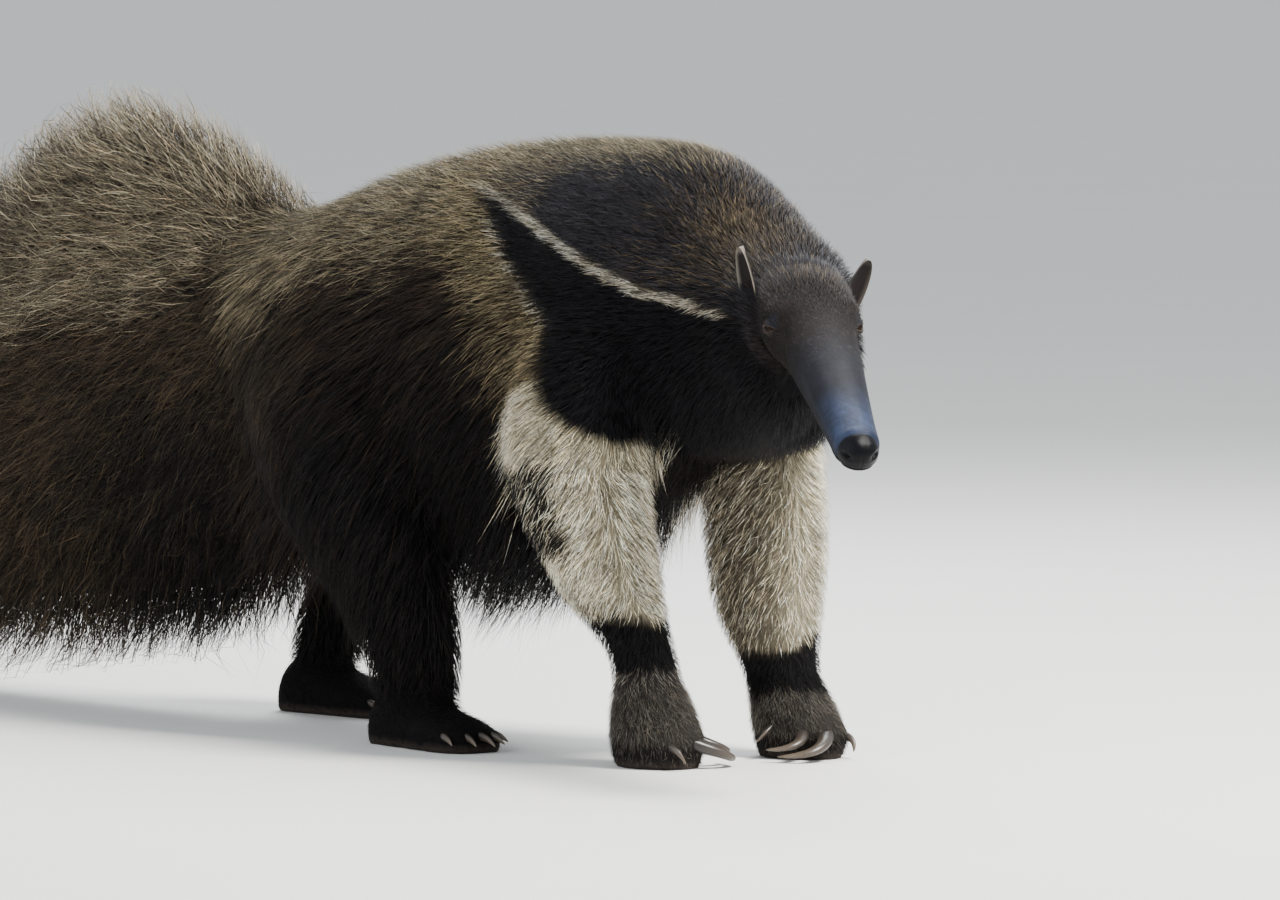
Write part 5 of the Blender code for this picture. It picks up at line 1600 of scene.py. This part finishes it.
def grow_coat(coat, mats):
    dark, soft = mats["coat"], mats["coat_soft"]
    side = {"R": lambda p, n: (p[:, 1] < 0).astype(float),
            "L": lambda p, n: (p[:, 1] >= 0).astype(float)}
    throat = {"R": lambda p, n: (p[:, 1] < -3.5).astype(float),
              "L": lambda p, n: (p[:, 1] >= -3.5).astype(float)}

    def trunk_dense(p, n):
        return 1.0 + 1.1 * smooth(-26, -12, p[:, 0]) - 0.3 * smooth(-0.3, -0.8, n[:, 2])

    def crest_dense(p, n):
        return 0.35 + 1.6 * smooth(40, 57, p[:, 2])

    def hide_dense(p, n):
        return 1.0 - 0.5 * smooth(-0.3, -0.8, n[:, 2])

    def tail_length(p, n):
        return (np.interp(p[:, 0], (-132, -110, -85, -64), (10, 13, 13, 9.5))
                + 4.0 * smooth(40, 20, p[:, 2]))

    for s in "RL":
        near = s == "R"
        coat.grow("coat_trunk_" + s, ["trunk"], 17500 if near else 15500, 2,
                  flow_trunk, trunk_length,
                  lambda p: np.interp(p[:, 0], (-40, -14), (0.060, 0.040)), dark,
                  "coat_dark", stick=0.62, low=(0.6, 1.15), where=(side[s], trunk_dense),
                  per_clump=8, pull=0.4, light=1.1, split=2, proud=1.0, wander=0.14,
                  vary=0.4, spot=0.5, hang=5.0)
        coat.grow("coat_tips_" + s, ["trunk"], 11500 if near else 9500, 1, flow_trunk,
                  lambda p, n: trunk_length(p, n) * 0.72,
                  lambda p: np.interp(p[:, 0], (-40, -14), (0.046, 0.030)), dark,
                  "coat_dark", stick=0.3, low=(0.95, 1.4), wander=0.24,
                  where=(side[s], trunk_dense, crest_dense), per_clump=0, light=0.8,
                  proud=1.5, vary=0.5, spot=0.5, hang=4.5)
        coat.grow("coat_flecks_" + s, ["trunk"], 17500 if near else 13500, 1, flow_trunk,
                  lambda p, n: 0.9 + 0.36 * trunk_length(p, n),
                  lambda p: np.interp(p[:, 0], (-40, -14), (0.044, 0.030)), dark,
                  "coat_dark", stick=0.55, low=(0.9, 1.25), wander=0.2,
                  where=(side[s], trunk_dense, crest_dense), per_clump=0, light=0.8,
                  proud=0.8, vary=0.5, spot=0.5, above=0.72)
        coat.grow("coat_neck_" + s, ["neck"], 7600 if near else 6200, 2,
                  flow_neck, front_length, front_width, dark, "coat_band", stick=0.6,
                  low=(0.9, 1.6), where=(throat[s],), per_clump=5, pull=0.25, light=1.4,
                  proud=1.8, wander=0.16, vary=0.4, spot=0.5)
        coat.grow("coat_plume_" + s, ["tail"], 5000 if near else 4200, 3,
                  flow_tail, tail_length, lambda p: np.full(len(p), 0.058), dark,
                  "coat_tail", stick=0.30, low=(0.95, 1.45), where=(side[s],), per_clump=6,
                  pull=0.3, light=0.9, proud=2.6, wander=0.20, kink=0.16, rise=0.4,
                  vary=0.45)
        coat.grow("coat_brush_" + s, ["tail"], 5200 if near else 4600, 2,
                  flow_tail, lambda p, n: tail_length(p, n) * 0.66,
                  lambda p: np.full(len(p), 0.052), dark, "coat_tail", stick=0.32,
                  low=(1.0, 1.5), where=(side[s],), per_clump=5, pull=0.25, light=0.7,
                  proud=2.6, wander=0.28, kink=0.2, rise=0.3, vary=0.5)
        coat.grow("coat_frizz_" + s, ["tail"], 9500 if near else 8000, 1,
                  flow_tail, lambda p, n: np.interp(p[:, 0], (-132, -64), (7.5, 6.5)),
                  lambda p: np.full(len(p), 0.040), dark, "coat_tail", stick=0.1,
                  low=(1.1, 1.6), wander=0.40, where=(side[s], hide_dense), per_clump=0,
                  light=0.5, proud=2.4, vary=0.5)
        coat.grow("coat_wisps_" + s, ["tail"], 17000 if near else 13000, 1,
                  flow_tail, lambda p, n: np.full(len(p), 3.2),
                  lambda p: np.full(len(p), 0.044), dark, "coat_tail", stick=0.3,
                  low=(1.05, 1.5), wander=0.42, where=(side[s], hide_dense), per_clump=0,
                  light=0.6, proud=2.4, vary=0.55, above=0.8)
        rows = FORELEG_R if near else FORELEG_L
        coat.grow("coat_foreleg_" + s, ["foreleg_" + s], 8000 if near else 6400, 2,
                  flow_foreleg(rows, math.radians(-21 if near else -6)),
                  lambda p, n: np.interp(p[:, 2], (9, 14, 20, 33), (1.2, 1.9, 2.5, 3.1)),
                  lambda p: np.interp(p[:, 2], (9, 20), (0.030, 0.038)), dark, "coat_cream",
                  stick=0.55, low=(0.7, 1.3), per_clump=5, pull=0.35, light=0.7, rise=0.3,
                  proud=0.9, wander=0.26, vary=0.38)
        coat.grow("coat_hand_" + s, ["hand_" + s], 5600, 1,
                  lambda p: unit(np.stack([np.full(len(p), 0.35), 0 * p[:, 1],
                                           np.full(len(p), -0.9)], 1)),
                  lambda p, n: np.interp(p[:, 2], (0.8, 4, 8), (0.8, 1.5, 1.9)),
                  lambda p: np.full(len(p), 0.032), dark, "coat_hand", stick=0.5,
                  low=(0.9, 1.7), per_clump=0, light=0.8, proud=0.6, wander=0.26,
                  where=(lambda p, n: (p[:, 2] > 0.35) * 1.0,))
        coat.grow("coat_hindleg_" + s, ["hindleg_" + s], 3500, 2, flow_hindleg,
                  lambda p, n: np.interp(p[:, 2], (6, 12, 25), (2.2, 4.6, 8.5)),
                  lambda p: np.full(len(p), 0.052), dark, "coat_black", stick=0.6,
                  low=(0.6, 1.2), per_clump=6, pull=0.45, light=1.6, proud=0.9, wander=0.16)
        coat.grow("coat_hindfoot_" + s, ["foot_" + s], 3300, 1, flow_foot,
                  lambda p, n: np.full(len(p), 1.35), lambda p: np.full(len(p), 0.032),
                  dark, "coat_black", stick=0.65, low=(0.6, 1.5), per_clump=0,
                  light=1.4, proud=0.4, wander=0.22,
                  where=(lambda p, n: (p[:, 2] > 0.4) * 1.0,))


def grow_face(coat, skin_arrays, mats):
    """Short hair of the face, straight, lying back from the muzzle."""
    co, tri = skin_arrays
    a, b, c = co[tri[:, 0]], co[tri[:, 1]], co[tri[:, 2]]
    middle = (a + b + c) / 3
    label = part_of(middle)
    s, side, rise = to_head(middle)
    clear = np.ones(len(middle))
    for name in "RL":
        eye = eye_frame(name)[0]
        clear *= smooth(0.90, 1.15, np.linalg.norm(middle - eye, axis=1))
    weight = ((label == PART["head"]) & (s > -8.5)) * clear * smooth(13.5, 7.0, s)
    weight = weight * (0.6 + 1.0 * smooth(4, -3, s))
    count = 24000
    roots, normals = spread_roots(co, tri, weight, count)
    way = flow_head(roots) + RNG.normal(0, 0.16, (count, 3))
    way = unit(way - normals * (way * normals).sum(1)[:, None])
    s = to_head(roots)[0]
    lift = RNG.uniform(0.12, 0.45, count) * np.interp(s, (-7, 2, 10), (1.9, 1.1, 0.7))
    way = unit(way + normals * lift[:, None])
    long_ = front_length(roots, normals) * RNG.uniform(0.7, 1.25, count)
    long_ = long_ * np.interp(s, (-8, -2), (1.35, 1.0))
    start = roots - normals * 0.04
    paths = np.stack([start, start + way * long_[:, None]], 1)
    faces = np.repeat(normals[:, None], 2, 1)
    spots = part_of(roots)
    tones = hair_tones(paths, roots, spots, 1.1, 0.5, 0.3, 0.4)
    half = front_width(roots) * RNG.uniform(0.9, 1.5, count)
    mesh = strand_mesh("coat_head", paths, faces, half, tones, unwrap(roots, spots), 0.6)
    coat.total += len(mesh.polygons)
    new_object("coat_head", mesh, mats["coat_soft"], "face")


# ------------------------------------------------------------------- the set
def make_camera():
    tilt = math.radians(3.7)
    right = Vector((0.70711, 0.70711, 0.0))
    look = Vector((-0.70711 * math.cos(tilt), 0.70711 * math.cos(tilt), -math.sin(tilt)))
    up = right.cross(look)
    anchor = Vector(place((-3.0, -9.0, 0.0)))
    middle = anchor - right * 0.01 + up * 0.315
    data = bpy.data.cameras.new("camera")
    data.lens = 281.25
    data.sensor_width = 36.0
    data.clip_end = 200.0
    camera = bpy.data.objects.new("camera", data)
    bpy.context.scene.collection.objects.link(camera)
    turn = Matrix((right, up, -look)).transposed().to_4x4()
    camera.matrix_world = Matrix.Translation(middle - look * 10.0) @ turn
    bpy.context.scene.camera = camera
    return right, up, look


def area_light(name, at, aim, size, power, colour=(1, 1, 1)):
    data = bpy.data.lights.new(name, "AREA")
    data.shape = "SQUARE"
    data.size = size
    data.energy = power
    data.color = colour
    obj = bpy.data.objects.new(name, data)
    bpy.context.scene.collection.objects.link(obj)
    obj.location = at
    obj.rotation_euler = (Vector(aim) - Vector(at)).to_track_quat("-Z", "Y").to_euler()


def make_set(right, up, look):
    heart = Vector(place((-40.0, 0.0, 38.0)))
    area_light("key", heart + right * 2.0 - look * 1.5 + up * 2.7, heart, 1.0, 410,
               (1.0, 0.98, 0.94))
    area_light("fill", heart - right * 2.6 - look * 2.4 + up * 1.0, heart, 2.6, 70,
               (0.94, 0.97, 1.0))
    area_light("rim", heart + look * 2.2 + right * 0.2 + up * 2.6, heart, 2.0, 160,
               (0.95, 0.98, 1.0))
    world = bpy.data.worlds.new("studio")
    world.use_nodes = True
    world.node_tree.nodes["Background"].inputs["Color"].default_value = (0.86, 0.90, 0.95, 1)
    world.node_tree.nodes["Background"].inputs["Strength"].default_value = 1.0
    bpy.context.scene.world = world
    bm = bmesh.new()
    bmesh.ops.create_circle(bm, cap_ends=True, radius=120.0, segments=96)
    for vert in bm.verts:
        vert.co.z = -0.0004
    mesh = bpy.data.meshes.new("floor")
    bm.to_mesh(mesh)
    bm.free()
    floor = bpy.data.objects.new("floor", mesh)
    floor.data.materials.append(floor_material())
    bpy.context.scene.collection.objects.link(floor)


FLESH = ["chest", "flank", "rump", "neck", "head", "snout", "nose", "tail_base",
         "tail_middle", "tail_rear", "tail_tip"]
for SIDE in "LR":
    FLESH += ["foreleg_upper_" + SIDE, "foreleg_lower_" + SIDE, "hand_" + SIDE,
              "thigh_" + SIDE, "hindleg_lower_" + SIDE, "hindfoot_" + SIDE]


def main():
    right, up, look = make_camera()
    make_set(right, up, look)
    outer = Field(envelope_mesh())
    mesh = skin_mesh()
    skin = Field(mesh)
    co, tri = mesh_arrays(mesh)
    coat = Coat(co, tri, skin, outer)
    refine_head(mesh)
    opening = shape_head(mesh)
    count = len(mesh.vertices)
    co = np.empty(count * 3, np.float32)
    mesh.vertices.foreach_get("co", co)
    co = co.reshape(-1, 3).astype(float)
    # feet and hands rest flat on the floor
    foot = co[:, 2] < 0.12
    co[foot, 2] = np.maximum(co[foot, 2], 0.02)
    label, tone, rough = skin_tones(co, opening)
    mesh.calc_loop_triangles()
    tri = np.empty(len(mesh.loop_triangles) * 3, np.int32)
    mesh.loop_triangles.foreach_get("vertices", tri)
    face_coat = (co.copy(), tri.reshape(-1, 3))
    mesh.vertices.foreach_set("co", place(co).astype(np.float32).ravel())
    colour = np.ones((count, 4), np.float32)
    colour[:, :3] = tone
    mesh.color_attributes.new("skin_tone", "FLOAT_COLOR", "POINT").data.foreach_set(
        "color", colour.ravel())
    mesh.attributes.new("skin_rough", "FLOAT", "POINT").data.foreach_set(
        "value", rough.astype(np.float32))
    s, a, r = to_head(co)
    short = np.where(label == PART["head"], smooth(14.0, 8.0, s), 1.0)
    mesh.attributes.new("short_hair", "FLOAT", "POINT").data.foreach_set(
        "value", short.astype(np.float32))
    mesh.shade_smooth()
    mats = {"skin": skin_material(), "coat": coat_material("hair", 0.52, 0.14, 0.4, 1.7, 330.0),
            "coat_soft": coat_material("hair_short", 0.60, 0.12, 0.5, 1.5, 620.0),
            "horn": horn_material(), "eye": eye_material()}
    new_object("skin", mesh, mats["skin"], "coat_dark", *FLESH)
    for side in "LR":
        make_eye(side, mats["eye"])
        make_ear(side, mats["skin"])
        for spec in list(fore_claw_specs(side)) + list(hind_claw_specs(side)):
            make_claw(*spec, mats["horn"])
    grow_coat(coat, mats)
    grow_face(coat, face_coat, mats)


main()
